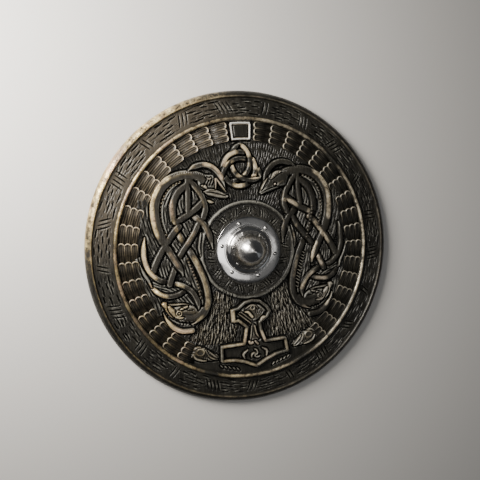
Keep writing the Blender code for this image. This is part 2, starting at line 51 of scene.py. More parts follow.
# Heights of its turned steps, and their radii
RIM_TOP, RIM_EDGE, BAND_TOP, RING_TOP = 0.0220, 0.0090, 0.0168, 0.0228
SCALE_FLOOR, SCALE_TOP, FIELD = 0.0118, 0.0152, 0.0112
INNER_RING_TOP, INNER_BAND_TOP = 0.0196, 0.0165
RIM_IN, RING_OUT, RING_IN, FIELD_OUT = 0.954 * R, 0.841 * R, 0.812 * R, 0.694 * R
IRING_OUT, IRING_IN, FLANGE_RADIUS = 0.318 * R, 0.291 * R, 0.214 * R
# Where the board is divided into blocks, and what is cut into its back
FIELD_SPLIT, SEAM, SEAT_IN = 0.200, 0.0098, FLANGE_RADIUS - 0.006
BACK_CHAMFER, HAND_HOLE, RIVET_HOLE = 0.003, 0.050, 0.0027
GRIP_HOUSING = (0.0153, 0.0923, 0.0096)
BOSS_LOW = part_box("boss")[0]

# The fine carving is worked out on a square grid of heights, CELL apart and REACH from the middle
CELL = 0.0005
REACH = 0.404
# Tops of the strands where they pass over and under, and the narrow cut beside raised shapes
OVER, UNDER = FIELD + 0.0092, FIELD + 0.0050
MOAT_DEPTH, MOAT_MIDDLE, MOAT_WIDTH, MOAT_REACH = 0.0034, 0.0014, 0.0021, 0.0042
# The deepest that any cut goes: above the seam behind the boss, and below the field
SEAM_COVER, FIELD_DEPTH = 0.0014, 0.0040
# The width over which ridges and hollows are told apart, and the height beyond which a ridge is fully rubbed,
# with a painted highlight, and a groove or hollow fully in painted shade
RIDGE_BLUR, RIDGE_RISE, HOLLOW_BLUR, HOLLOW_RISE, LEAF_BLUR = 0.0024, 0.0026, 0.0060, 0.0060, 0.0008
# The upper left, where light is painted on, in degrees clockwise from the top
LIT_SIDE = 312

# The left beast's strands: width as a share of R, taper at each end in metres, line in thousandths of R
STRANDS = {
    "neck": (0.060, 0, 0, (
        (-225, 447), (-300, 485), (-390, 494), (-475, 465), (-535, 408), (-568, 330), (-574, 250),
        (-561, 170), (-535, 100))),
    "throat": (0.045, 0, 0.030, ((-518, 60), (-492, 10), (-463, -45), (-440, -92), (-433, -122))),
    "spine": (0.043, 0, 0.045, (
        (-372, 432), (-430, 385), (-463, 310), (-464, 230), (-447, 155), (-413, 85), (-374, 15), (-338, -60),
        (-308, -140), (-290, -220), (-288, -300), (-312, -362), (-358, -412), (-402, -434))),
    "cross_low": (0.037, 0, 0, (
        (-315, 190), (-345, 135), (-385, 80), (-425, 30), (-455, -20), (-482, -75), (-506, -130),
        (-520, -168))),
    "cross_high": (0.042, 0, 0, (
        (-435, 185), (-470, 150), (-520, 85), (-565, 20), (-598, -40), (-612, -72))),
    "hook": (0.038, 0, 0, ((-345, 460), (-300, 400), (-270, 340), (-262, 280), (-280, 228))),
    "post": (0.036, 0, 0, ((-362, 465), (-364, 385), (-369, 310), (-372, 275))),
    "bar": (0.040, 0, 0, ((-452, 212), (-400, 238), (-345, 270), (-302, 302), (-272, 330))),
    "tail": (0.042, 0.012, 0.040, ((-360, 262), (-330, 236), (-285, 192), (-257, 140), (-242, 85),
                                   (-234, 28))),
    "rib": (0.016, 0.02, 0.02, ((-300, 140), (-312, 90), (-320, 40), (-315, -10))),
    "loop": (0.034, 0.035, 0.02, (
        (-645, 135), (-657, 60), (-656, -10), (-633, -75), (-590, -125), (-540, -150), (-485, -165),
        (-425, -192), (-378, -238), (-354, -300), (-352, -345))),
    "flank": (0.033, 0.040, 0, (
        (-650, -120), (-632, -165), (-600, -205), (-555, -235), (-500, -240), (-440, -222), (-402, -195))),
    "jaw": (0.046, 0, 0, ((-462, -388), (-410, -398), (-362, -388), (-322, -350))),
    "low_crest": (0.036, 0.050, 0, ((-572, -340), (-555, -385), (-520, -435), (-470, -468), (-402, -474))),
    "high_crest": (0.036, 0.020, 0.035, (
        (-350, 522), (-300, 545), (-250, 552), (-205, 538), (-168, 505), (-142, 460), (-126, 400))),
    "lappet": (0.020, 0.03, 0.02, ((-690, -20), (-668, -85), (-645, -128), (-628, -175))),
}
# Where two strands cross, the later one is on top, but each of these passes over some later ones
PASSES_OVER = {
    "throat": ("cross_low",), "spine": ("bar", "loop", "jaw"), "cross_low": ("loop",), "hook": ("bar",),
    "bar": ("tail",), "tail": ("rib",), "loop": ("flank", "lappet"),
}

# How much leaf is left on the ring, by degrees clockwise from the top
RING_LEAF = ((0, 0.42), (30, 0.38), (60, 0.44), (90, 0.90), (105, 1.00), (130, 0.80), (143, 1.15),
             (150, 0.75), (180, 0.62), (210, 0.44), (240, 0.24), (275, 0.28), (300, 1.05), (330, 1.00),
             (345, 0.50), (360, 0.42))

# Where gold leaf lies on the raised strands: strength, half width in metres, line in thousandths of R. A
# strength above 0.9 also brightens and whitens the leaf, a painted highlight
GOLD = (
    (1.20, 0.0057, ((-470, 487), (-535, 440), (-582, 350), (-590, 250), (-572, 130))),
    (0.10, 0.0049, ((-455, 482), (-390, 506), (-330, 502))),
    (1.10, 0.0049, ((-252, 556), (-205, 545), (-165, 512), (-145, 460))),
    (0.52, 0.0041, ((-350, 536), (-312, 545))),
    (0.45, 0.0049, ((-474, 350), (-470, 270), (-458, 180), (-424, 95))),
    (0.22, 0.0045, ((-344, 145), (-400, 70))),
    (0.30, 0.0041, ((-505, 30), (-460, -60))),
    (0.60, 0.0057, ((-360, -10), (-322, -110), (-296, -215), (-292, -300), (-304, -340))),
    (0.26, 0.0049, ((-330, -388), (-400, -436))),
    (1.30, 0.0049, ((-648, 130), (-660, 30), (-645, -60), (-602, -118))),
    (1.30, 0.0049, ((-640, -150), (-602, -205), (-548, -238))),
    (0.72, 0.0045, ((-475, -168), (-440, -185))),
    (1.30, 0.0061, ((-570, -350), (-530, -428), (-470, -472), (-405, -478))),
    (0.19, 0.0033, ((-350, 245), (-285, 190), (-256, 110))),
    (0.12, 0.0033, ((-325, 420), (-285, 355), (-270, 290))),
    (1.30, 0.0062, ((474, 482), (519, 445), (559, 380), (575, 300), (568, 170))),
    (0.41, 0.0025, ((300, 572), (200, 574), (120, 530), (75, 478))),
    (1.20, 0.0057, ((462, 158), (555, 8))),
    (1.20, 0.0049, ((258, 306), (300, 296), (345, 266))),
    (0.41, 0.0037, ((256, 385), (250, 330))),
    (0.85, 0.0041, ((430, 235), (412, 165), (402, 120))),
    (0.22, 0.0033, ((392, 390), (420, 340))),
    (1.20, 0.0053, ((470, 10), (444, -50), (435, -105))),
    (0.81, 0.0049, ((470, -75), (505, -145))),
    (1.20, 0.0053, ((440, -186), (398, -222), (350, -285))),
    (0.81, 0.0049, ((458, -230), (530, -240))),
    (0.72, 0.0049, ((560, -345), (520, -420))),
    (0.68, 0.0049, ((408, -440), (350, -412))),
    (0.22, 0.0033, ((248, 195), (240, 110))),
    (0.30, 0.0033, ((338, 150), (305, 40))),
    (0.38, 0.0041, ((330, -65), (310, -140), (295, -205))),
    (2.00, 0.0070, ((-45, 618), (-92, 592), (-122, 548))),
    (2.00, 0.0060, ((62, 604), (80, 560), (80, 518))),
    (1.60, 0.0070, ((-66, 418), (-40, 411), (-12, 414))),
    (1.80, 0.0060, ((-6, 664), (26, 634), (38, 600))),
    (2.20, 0.0060, ((38, 468), (66, 464), (92, 466))),
    (1.20, 0.0060, ((-40, 478), (-18, 482), (4, 494))),
    (1.60, 0.0060, ((-6, 560), (14, 550), (30, 540))),
    (2.00, 0.0050, ((-70, 562), (-66, 534), (-62, 506))),
)

# Plumage between the strands: width as a share of R, rows, height over the field, middle line
PLUMAGE = (
    (0.070, 4, 0.0052, ((-330, 452), (-410, 430), (-468, 383), (-505, 310), (-510, 235), (-498, 165),
                        (-472, 100), (-440, 45))),
    (0.075, 4, 0.0050, ((-425, 20), (-408, -60), (-390, -130), (-370, -200), (-348, -270), (-340, -340))),
    (0.100, 5, 0.0042, ((-405, 235), (-378, 165), (-355, 80))),
    (0.105, 6, 0.0040, ((-520, 55), (-538, -40), (-520, -140))),
    (0.085, 4, 0.0040, ((-640, 340), (-632, 230), (-605, 125), (-560, 0))),
    (0.065, 3, 0.0036, ((-690, -10), (-676, -95), (-650, -185), (-618, -260), (-600, -330))),
    (0.085, 4, 0.0046, ((-415, 390), (-418, 310), (-400, 240))),
    (0.075, 4, 0.0040, ((-330, 380), (-325, 320), (-330, 290))),
    (0.085, 5, 0.0046, ((-590, -165), (-510, -200), (-450, -260), (-400, -330))),
    (0.070, 4, 0.0034, ((-520, -395), (-470, -425), (-410, -430))),
    (0.060, 3, 0.0034, ((-300, 210), (-322, 120), (-345, 20), (-330, -60))),
)
# Rows of pearls, by the side that they lie on, and the ladder of rungs in the right beast
PEARL_ROWS = (
    (-1, ((-405, 455), (-465, 425), (-510, 368), (-535, 300), (-539, 235), (-528, 170), (-505, 120))),
    (-1, ((-398, -20), (-378, -85), (-356, -150), (-341, -215), (-334, -275))),
    (1, ((-405, 455), (-465, 425), (-506, 368), (-520, 300), (-520, 235), (-508, 170), (-490, 125))),
    (1, ((-452, 252), (-444, 190), (-425, 120), (-402, 50))),
)
RUNGS = ((372, -48), (356, -120), (334, -200), (308, -296))
# Outlines of the heads, the hammer and what is inside it, in thousandths of R
HIGH_HEAD = ((-300, 468), (-250, 492), (-200, 488), (-170, 450), (-185, 400), (-240, 392), (-292, 405))
BEAK = ((-268, 388), (-235, 404), (-190, 398), (-140, 372), (-105, 350), (-125, 337), (-180, 345),
        (-235, 362))
SMOOTH_HEAD = ((-310, 478), (-240, 500), (-180, 478), (-130, 420), (-96, 362), (-108, 348), (-165, 365),
               (-225, 385), (-280, 402))
LOW_HEAD = ((-505, -312), (-430, -300), (-380, -322), (-345, -362), (-372, -400), (-440, -412), (-492, -398),
            (-512, -360))
LOW_NOSE = ((-582, -283), (-568, -270), (-548, -276), (-545, -298), (-549, -322), (-572, -302))
LOW_LIP = ((-548, -300), (-530, -296), (-502, -330), (-497, -372), (-510, -374), (-538, -336))
HAMMER = ((-72, -612), (-46, -502), (-100, -452), (-134, -455), (-134, -380), (-98, -374), (-52, -340),
          (0, -330), (50, -342), (96, -382), (114, -414), (94, -447), (42, -480), (46, -530), (74, -612),
          (212, -612), (224, -700), (140, -710), (75, -735), (0, -770), (-75, -732), (-140, -712),
          (-226, -704), (-222, -612))
POMMEL_BIRD = ((-100, -405), (-60, -372), (0, -352), (55, -370), (92, -410), (60, -440), (20, -468),
               (0, -470), (-30, -440), (-70, -425))
SHAFT_BLADE = ((-4, -485), (12, -500), (34, -600), (-40, -600), (-20, -510))
# Where gold leaf lies on the hammer's outline: strength, line in thousandths of R
HAMMER_GOLD = (
    (1.60, ((-134, -450), (-134, -385))),
    (0.40, ((-122, -455), (-98, -452), (-56, -500))),
    (1.00, ((-48, -515), (-58, -555), (-70, -600))),
    (0.75, ((-82, -612), (-135, -612))),
    (0.50, ((-140, -612), (-216, -612))),
    (0.60, ((-222, -704), (-140, -712), (-82, -730))),
    (0.85, ((-78, -731), (-10, -766))),
    (0.35, ((8, -768), (75, -735), (140, -711))),
    (1.10, ((49, -540), (72, -604))),
    (0.45, ((112, -612), (200, -612))),
    (0.95, ((213, -622), (222, -692))),
)
# Outlines of the rough cut patch beside the hammer, and of a small head's skull
SHAGGY_PATCH = ((125, -290), (235, -240), (275, -345), (335, -425), (420, -510), (425, -540), (340, -580),
                (220, -592), (120, -590), (105, -470), (135, -420))
SERPENT_SKULL = ((-90, 30), (-50, 46), (-10, 46), (30, 30), (75, 22), (95, 6), (88, -14), (50, -26),
                 (10, -34), (-50, -40), (-90, -30))
# The small heads' places in thousandths of R, how far each is turned in degrees, and which way up it is
SERPENT_HEADS = ((-335, -650, -20.0, 1), (352, -640, 200.0, -1))
PLAQUE_HALF_ANGLE = math.radians(5.0)

# Cuts on the two bands. Dashes: each row's radius as a share of R, and its shift in dashes
DASH_ROWS = ((0.859, 0.0), (0.878, 0.5), (0.899, 0.15), (0.919, 0.65), (0.938, 0.3))
DASHES_A_ROW = 62
MARK_LEANS = (0.35, -0.45, 0.12, -0.25)
BAND_MARKS = np.arange(21) * 360.0 / 21 - 92
INNER_MARKS = np.arange(17) * 360.0 / 17 + 5
DASH_ROOM, SCRATCH_ROOM = 3.1, 1.9
BAND_SCRATCHES, INNER_SCRATCHES, PATCH_CUTS = 1300, 420, 950


# ---- curves -------------------------------------------------------------------------------------------

def distances(line):
    """The distance along a line to each of its points."""
    return np.concatenate([[0], np.cumsum(np.hypot(*np.diff(line, axis=0).T))])


def even_steps(line, step):
    """The same line with its points evenly spaced."""
    run = distances(line)
    even = np.linspace(0, run[-1], max(2, round(run[-1] / step)) + 1)
    return np.stack([np.interp(even, run, line[:, k]) for k in range(2)], 1)


def closed(outline):
    return np.vstack([outline, outline[:1]])


def smooth(points, step=0.002):
    """Evenly spaced points on a smooth curve through the given ones."""
    knots = np.array(points, float)
    knots = np.vstack([2 * knots[0] - knots[1], knots, 2 * knots[-1] - knots[-2]])
    t = np.linspace(0, 1, 16, endpoint=False)[:, None]
    parts = []
    for a, b, c, d in zip(knots, knots[1:], knots[2:], knots[3:]):
        parts.append(0.5 * (2 * b + (c - a) * t + (2 * a - 5 * b + 4 * c - d) * t * t
                            + (3 * b - a - 3 * c + d) * t ** 3))
    return even_steps(np.vstack(parts + [knots[-2:-1]]), step)


def shares(points, sign=1):
    """Points given in thousandths of R, in metres. sign -1 mirrors them in X."""
    return np.array(points, float) * (sign * R / 1000, R / 1000)


def ramp(value, low, high):
    t = np.clip((value - low) / (high - low), 0.0, 1.0)
    return t * t * (3 - 2 * t)


def inside(x, y, outline):
    within = np.zeros(np.broadcast(x, y).shape, bool)
    for (ax, ay), (bx, by) in zip(outline, np.roll(outline, -1, axis=0)):
        if ay != by:
            within ^= ((ay > y) != (by > y)) & (x < (bx - ax) * (y - ay) / (by - ay) + ax)
    return within


def crossings(path, other):
    """Where two lines cross, as pairs of distances along each."""
    a, b, c, d = path[:-1], path[1:], other[:-1], other[1:]
    u, v, w = (b - a)[:, None], (d - c)[None], c[None] - a[:, None]
    turn = u[..., 0] * v[..., 1] - u[..., 1] * v[..., 0]
    turn = np.where(np.abs(turn) < 1e-15, 1e-15, turn)
    s = (w[..., 0] * v[..., 1] - w[..., 1] * v[..., 0]) / turn
    t = (w[..., 0] * u[..., 1] - w[..., 1] * u[..., 0]) / turn
    run, far = distances(path), distances(other)
    found = []
    for i, j in np.argwhere((s >= 0) & (s < 1) & (t >= 0) & (t < 1)):
        found.append((run[i] + s[i, j] * (run[i + 1] - run[i]), far[j] + t[i, j] * (far[j + 1] - far[j])))
    return found


def out_and_round(turn):
    """The directions outwards and clockwise at an angle from the top."""
    return np.array([math.sin(turn), math.cos(turn)]), np.array([math.cos(turn), -math.sin(turn)])


def lit_side_share(angle, low, high):
    """How near an angle, in degrees from the top, is to the upper left of the board, where light is painted
    on: 0 to 1.
    """
    return ramp(np.cos(np.radians(angle - LIT_SIDE)), low, high)


# ---- the turned board -----------------------------------------------------------------------------------

def arch(r, low, high, foot, top):
    """A half-round moulding between two radii."""
    return foot + (top - foot) * np.clip(1 - ((2 * r - low - high) / (high - low)) ** 2, 0, 1) ** 0.42


def ring_moulding(r):
    return arch(r, RING_IN, RING_OUT, SCALE_TOP - 0.0020, RING_TOP)


def rim_moulding(r):
    """A crisp inner crest falling away in a swelling bevel to the outer edge."""
    crest, foot = RIM_IN + 0.0030, BAND_TOP - 0.0012
    fall = np.clip((r - crest) / (R - crest), 0, 1)
    rise = np.clip((r - RIM_IN) / (crest - RIM_IN), 0, 1)
    outer = RIM_EDGE + (RIM_TOP - RIM_EDGE) * (1 - fall ** 2.0) ** 0.75
    return np.where(r < crest, foot + (RIM_TOP - foot) * rise ** 0.5, outer)


def turned_height(r):
    """The board before it is carved, without the two outer mouldings, which are turned as pieces."""
    h = np.where(r < IRING_IN, INNER_BAND_TOP, FIELD)
    inner_ring = arch(r, IRING_IN, IRING_OUT, INNER_BAND_TOP - 0.0022, INNER_RING_TOP)
    h = np.where((r >= IRING_IN) & (r < IRING_OUT), inner_ring, h)
    h = np.where(r >= FIELD_OUT, SCALE_FLOOR, h)
    return np.where(r >= (RING_IN + RING_OUT) / 2, BAND_TOP, h)


# ---- carving tools --------------------------------------------------------------------------------------

def crowned(top, t, sag, shoulder, foot=0.75):
    """The height across a rounded ridge, t from 0 on its middle line to 1 at its edge, and nothing beyond."""
    return np.where(t <= 1, top - sag * t ** 2 - shoulder * ramp(t, foot, 1.0) ** 2, -1)


def narrowed(half, lengths, run, total, least, lead):
    """A half width along a path, narrowed to its least share over some length at each end."""
    wide = np.full_like(run, half)
    for length, left in zip(lengths, (run, total - run)):
        if length:
            wide *= least + (1 - least) * ramp(left, -lead, length)
    return wide


class Carving:
    """Heights of the carved face, and how much each place is gilded, whitened or kept from rubbing. The
    whitening is partly painted light and the strongest gilding partly a painted highlight; a place kept from
    rubbing also loses its painted edge highlight and shade.
    """

    def __init__(self):
        self.axis = np.linspace(-REACH, REACH, round(2 * REACH / CELL) + 1)
        x, y = np.meshgrid(self.axis, self.axis)
        self.radius = np.hypot(x, y)
        self.height = turned_height(self.radius)
        self.gilt, self.pale, self.calm = (np.zeros_like(x) for _ in range(3))

    def window(self, low, high):
        most = len(self.axis) - 1
        i0, j0 = np.clip(np.floor((np.asarray(low) + REACH) / CELL).astype(int), 0, most)
        i1, j1 = np.clip(np.ceil((np.asarray(high) + REACH) / CELL).astype(int) + 1, 1, most + 1)
        return (slice(j0, j1), slice(i0, i1))

    def trace(self, path, reach):
        """The window round a path, its cells' distances from, along and beside the path, and its length."""
        box = self.window(path.min(0) - reach, path.max(0) + reach)
        rows, cols = self.axis[box[0]], self.axis[box[1]]
        near = np.full((len(rows), len(cols)), np.inf)
        along, side = np.zeros_like(near), np.zeros_like(near)
        run = 0.0
        for a, b in zip(path, path[1:]):
            length = math.hypot(*(b - a))
            if length < 1e-9:
                continue
            low, high = np.minimum(a, b) - reach, np.maximum(a, b) + reach
            i, j = (slice(max(0, int((low[k] - line[0]) / CELL)), max(0, int((high[k] - line[0]) / CELL) + 2))
                    for k, line in enumerate((cols, rows)))
            px, py = cols[None, i] - a[0], rows[j, None] - a[1]
            ux, uy = (b - a) / length
            t = np.clip(px * ux + py * uy, 0, length)
            dx, dy = px - t * ux, py - t * uy
            d = np.hypot(dx, dy)
            better = d < near[j, i]
            near[j, i][better] = d[better]
            along[j, i][better] = (run + t)[better]
            side[j, i][better] = (ux * dy - uy * dx)[better]
            run += length
        return box, near, along, side, run

    def raise_to(self, box, top, gilt=0.0, pale=0.0, calm=0.0):
        higher = top > self.height[box]
        self.height[box][higher] = top[higher]
        for kept, value in ((self.gilt, gilt), (self.pale, pale), (self.calm, calm)):
            kept[box][higher] = value

    def moat(self, box, outside, top):
        """A narrow cut beside a raised shape, only where the wood next to it is lower."""
        strength = np.clip(1.3 - np.abs(outside - MOAT_MIDDLE) / MOAT_WIDTH, 0, 1)
        self.height[box] -= MOAT_DEPTH * strength * ramp(top - self.height[box], 0.0006, 0.002)

    def bead(self, path, half, top, gilt=0.0, ends=(0, 0), moat=True, calm=0.0):
        """A rounded ridge along a path, tapered at the ends marked 1."""
        box, d, run, _, total = self.trace(path, half + MOAT_REACH)
        length = min(0.03, total * 0.4)
        wide = narrowed(half, [length * end for end in ends], run, total, 0.3, 0.002)
        self.raise_to(box, crowned(top, d / wide, 0.0012, 0.003), gilt, calm=calm)
        if moat:
            self.moat(box, d - wide, top)

    def groove(self, path, half, depth):
        box, d, run, _, total = self.trace(path, half + 0.001)
        ends = ramp(np.minimum(run, total - run), -0.001, 0.004)
        self.height[box] -= depth * ends * np.sqrt(np.clip(1 - (d / half) ** 2, 0, 1))

    def gouge(self, place, angle, length, half, depth):
        """One lens-shaped cut of a gouge."""
        ca, sa = math.cos(angle), math.sin(angle)
        reach = np.array([abs(ca) * length / 2 + half, abs(sa) * length / 2 + half])
        box = self.window(place - reach, place + reach)
        px, py = self.axis[box[1]][None] - place[0], self.axis[box[0]][:, None] - place[1]
        u, v = px * ca + py * sa, py * ca - px * sa
        wide = half * np.clip(1 - (2 * u / length) ** 2, 1e-3, 1) ** 0.8
        self.height[box] -= depth * np.sqrt(np.clip(1 - (v / wide) ** 2, 0, 1)) * (np.abs(u) < length / 2)

    def gouge_round(self, turn, radius, lean, length, half, depth):
        """The same cut at an angle from the top, turned by lean from the direction round the board."""
        self.gouge(out_and_round(turn)[0] * radius, lean - turn, length, half, depth)

    def plate(self, outline, top, soft=0.004, drop=0.003, gilt=0.0, moat=True):
        """A raised shape with rounded edges inside an outline."""
        box, d, _, _, _ = self.trace(even_steps(closed(outline), 0.004), soft + MOAT_REACH)
        within = inside(self.axis[box[1]][None], self.axis[box[0]][:, None], outline)
        depth_in = np.where(within, np.minimum(d, soft), 0)
        self.raise_to(box, np.where(within, top - drop * (1 - depth_in / soft) ** 2, -1), gilt)
        if moat:
            self.moat(box, np.where(within, -1, d), top)

    def lay_gold(self, path, half, strength, above):
        """Gilds what stands proud along a path, and whitens the strongest leaf, a painted highlight."""
        box, d, run, _, total = self.trace(path, half)
        ends = ramp(np.minimum(run, total - run), -0.003, 0.004)
        leaf = strength * ends * (1 - ramp(d / half, 0.6, 1.0)) * (self.height[box] > above)
        self.gilt[box] = np.maximum(self.gilt[box], leaf)
        # Whitening on the strongest leaf: a painted highlight
        self.pale[box] = np.maximum(self.pale[box], 0.40 * np.clip(leaf - 0.9, 0, 1))


class Chisel:
    """Carves one figure: points in thousandths of R, widths and depths in millimetres, heights in millimetres
    over a base. place turns the points into metres."""

    def __init__(self, carving, base, place=shares):
        self.carving = carving
        self.base = base
        self.place = place

    def line(self, points):
        return smooth(self.place(points), 0.001)

    def bead(self, half, rise, gilt, *points, ends=(1, 1), **more):
        self.carving.bead(self.line(points), half * MM, self.base + rise * MM, gilt, ends, **more)

    def groove(self, half, depth, *points):
        self.carving.groove(self.line(points), half * MM, depth * MM)

    def plate(self, outline, rise, soft=4.0, drop=3.0, gilt=0.0, **more):
        self.carving.plate(self.place(outline), self.base + rise * MM, soft * MM, drop * MM, gilt, **more)


def lay_strands(carving, paths, sizes, dips, reach=(0.010, 0.024), pale=0.0, calm=0.5):
    """Raises each strand, lowered where it passes under another, then cuts beside them all."""
    laid = []
    for name, path in paths.items():
        half, *tapers = sizes[name]
        box, d, run, _, total = carving.trace(path, half + MOAT_REACH)
        top = np.full_like(run, OVER)
        for place in dips[name]:
            top = np.minimum(top, OVER - (OVER - UNDER) * (1 - ramp(np.abs(run - place), *reach)))
        wide = narrowed(half, tapers, run, total, 0.15, 0.004)
        carving.raise_to(box, crowned(top, d / wide, 0.0017, 0.0030, 0.74), 0.0, pale, calm)
        laid.append((box, d - wide, top))
    for strand in laid:
        carving.moat(*strand)


def comb_plumage(carving, path, half, rows, rise, seed):
    """A strip of feathers: rows of long lens-shaped cuts, each row shifted from the last."""
    box, d, run, side, _ = carving.trace(path, half + 0.002)
    t = d / half
    stroke, cut_half, cut_depth = 0.042, 0.0016, 0.0038
    row_width = 2 * half / rows
    u = side / row_width + rows / 2.0
    row = np.floor(u)
    across = (u - row - 0.5) * row_width
    v = run / stroke + row * 0.41 + 0.3 * np.sin(row * 2.3 + seed)
    along = (v - np.floor(v) - 0.5) * stroke
    cut = np.sqrt(np.clip(1 - (across / cut_half) ** 2 - (along / (stroke * 0.46)) ** 2, 0, 1))
    crown = FIELD + rise - 0.0012 * t ** 2 - 0.003 * ramp(t, 0.8, 1.02) - cut_depth * cut
    carving.raise_to(box, np.where(t < 1.02, crown, -1))


# ---- the two beasts -------------------------------------------------------------------------------------

def carve_ticks(carving, sign):
    """A row of short cuts across the neck, close to its outer edge."""
    neck = smooth(shares(STRANDS["neck"][3], sign))
    ahead = np.gradient(neck, axis=0)
    ahead /= np.linalg.norm(ahead, axis=1, keepdims=True)
    outward = np.stack([ahead[:, 1], -ahead[:, 0]], 1) * sign
    for k in range(6, len(neck) - 40, 2):
        place = neck[k] + outward[k] * 0.0068
        carving.gouge(place, math.atan2(outward[k, 1], outward[k, 0]), 0.0080, 0.0009, 0.0012)


def carve_beaked_head(cut):
    """The left beast's head: curls, a long closed beak and a leaf-shaped ear."""
    cut.plate(HIGH_HEAD, -1.2, soft=6)
    cut.bead(4.0, 0.6, 0.25, (-275, 425), (-255, 418), (-243, 404))
    for k in range(4):
        x = -255 + 18 * k
        cut.groove(1.6, 4.0, (x, 482 - 6 * k), (x + 12, 462), (x, 440), (x - 8, 420))
    cut.bead(2.2, 1.0, 0.3, (-236, 470), (-222, 462), (-212, 470))
    cut.plate(BEAK, 1.4, gilt=0.10)
    cut.groove(1.5, 4.0, (-262, 384), (-215, 380), (-165, 366), (-118, 350))
    cut.groove(1.0, 2.2, (-235, 393), (-190, 387), (-150, 370))
    cut.bead(2.8, 2.2, 0.45, (-188, 400), (-186, 432), (-182, 462), (-155, 425), (-122, 378))
    cut.groove(1.4, 3.4, (-172, 432), (-155, 402))
    cut.bead(4.0, -4.2, 0.5, (-248, 335), (-225, 322), (-205, 318))


def carve_smooth_head(cut):
    """The right beast's head: a long smooth snout under a lit brow."""
    cut.plate(SMOOTH_HEAD, 0.6, soft=8, drop=4)
    cut.bead(5.0, 2.0, 0.25, (-250, 488), (-215, 478), (-180, 445))
    for k in range(5):
        place = shares((232 - 12 * k, 482 - 8 * k))
        cut.carving.gouge(place, 0.9 + 0.5 * k, 0.010, 0.0012, 0.0022)
    cut.bead(2.6, 2.4, 0.8, (-205, 410), (-202, 408), ends=(0, 0))
    cut.groove(1.5, 4.0, (-100, 354), (-150, 378), (-205, 392), (-262, 392))
    cut.groove(1.2, 2.4, (-112, 372), (-150, 410), (-170, 450))
    cut.bead(2.0, 1.8, 0.35, (-104, 372), (-128, 412), (-158, 455))
    cut.bead(2.2, 1.2, 0.2, (-262, 430), (-240, 418), (-212, 402))


def carve_low_head(cut, gold):
    """The second head at the bottom of the knot, biting the jaw strand. gold is its share of leaf."""
    calm = 0.5 - 0.5 * gold
    cut.bead(1.8, 1.2, 0.55 * gold, (-494, -350), (-482, -338), (-466, -346), (-464, -362), (-480, -370),
             (-493, -362), (-494, -352), ends=(0, 0), moat=False, calm=calm)
    for half, rise, gilt, ends, *points in (
            (2.0, 1.8, 0.70, (0, 0), (-480, -354), (-477, -353)),
            (3.0, 1.6, 0.90, (0, 1), (-498, -374), (-478, -382), (-452, -382)),
            (2.0, 1.0, 0.45, (1, 1), (-542, -290), (-500, -296), (-450, -297), (-416, -306)),
            (2.8, 1.2, 0.70, (0, 1), (-425, -316), (-448, -324), (-470, -330)),
            (2.0, 0.0, 0.80, (0, 1), (-556, -318), (-538, -352), (-512, -384))):
        cut.bead(half, rise, gilt * gold, *points, ends=ends, calm=calm)
    cut.groove(1.5, 3.5, (-470, -306), (-430, -336), (-385, -345))
    for k in range(4):
        cut.groove(1.5, 3.4, (-486 + 20 * k, -400 - 2 * k), (-474 + 20 * k, -420), (-480 + 20 * k, -440))
    cut.plate(LOW_NOSE, 1.0, gilt=gold)
    cut.plate(LOW_LIP, 1.0, gilt=gold)


def carve_rungs(carving):
    """A ladder of short raised rungs inside the right beast's flank."""
    path = smooth(shares(RUNGS))
    for k in np.linspace(0, len(path) - 6, 12).astype(int):
        ahead = (path[k + 5] - path[k]) / math.hypot(*(path[k + 5] - path[k]))
        across = np.array([-ahead[1], ahead[0]]) + 0.4 * ahead
        rung = np.stack([path[k] - 0.0052 * across, path[k], path[k] + 0.0052 * across])
        carving.bead(rung, 0.0019, FIELD + 0.0062, 0.22)


def carve_beast(carving, sign):
    """One beast, the left one as drawn and the right one mirrored, with its plumage, knot and heads."""
    left = sign > 0
    for k, (width, rows, rise, points) in enumerate(PLUMAGE):
        comb_plumage(carving, smooth(shares(points, sign)), width * R / 2, rows, rise, k)
    paths = {name: smooth(shares(strand[3], sign)) for name, strand in STRANDS.items()}
    sizes = {name: (strand[0] * R / 2, *strand[1:3]) for name, strand in STRANDS.items()}
    dips = {name: [] for name in paths}
    names = list(paths)
    for i, first in enumerate(names):
        for second in names[i + 1:]:
            for place, other in crossings(paths[first], paths[second]):
                if second in PASSES_OVER.get(first, ()):
                    dips[second].append(other)
                else:
                    dips[first].append(place)
    cut = Chisel(carving, OVER, lambda points: shares(points, sign))
    cut.plate(LOW_HEAD, -1.0, gilt=0.12 if left else 0.0)
    # The left beast's strands are whitened a little more and the right beast's edges kept calmer: painted
    # light from the upper left
    lay_strands(carving, paths, sizes, dips, pale=0.014 if left else 0.004, calm=0.50 if left else 0.70)
    carve_ticks(carving, sign)
    if left:
        carve_beaked_head(cut)
    else:
        carve_smooth_head(cut)
        carve_rungs(carving)
    carve_low_head(cut, 1.0 if left else 0.25)


# ---- the triquetra, the hammer and the small figures ----------------------------------------------------

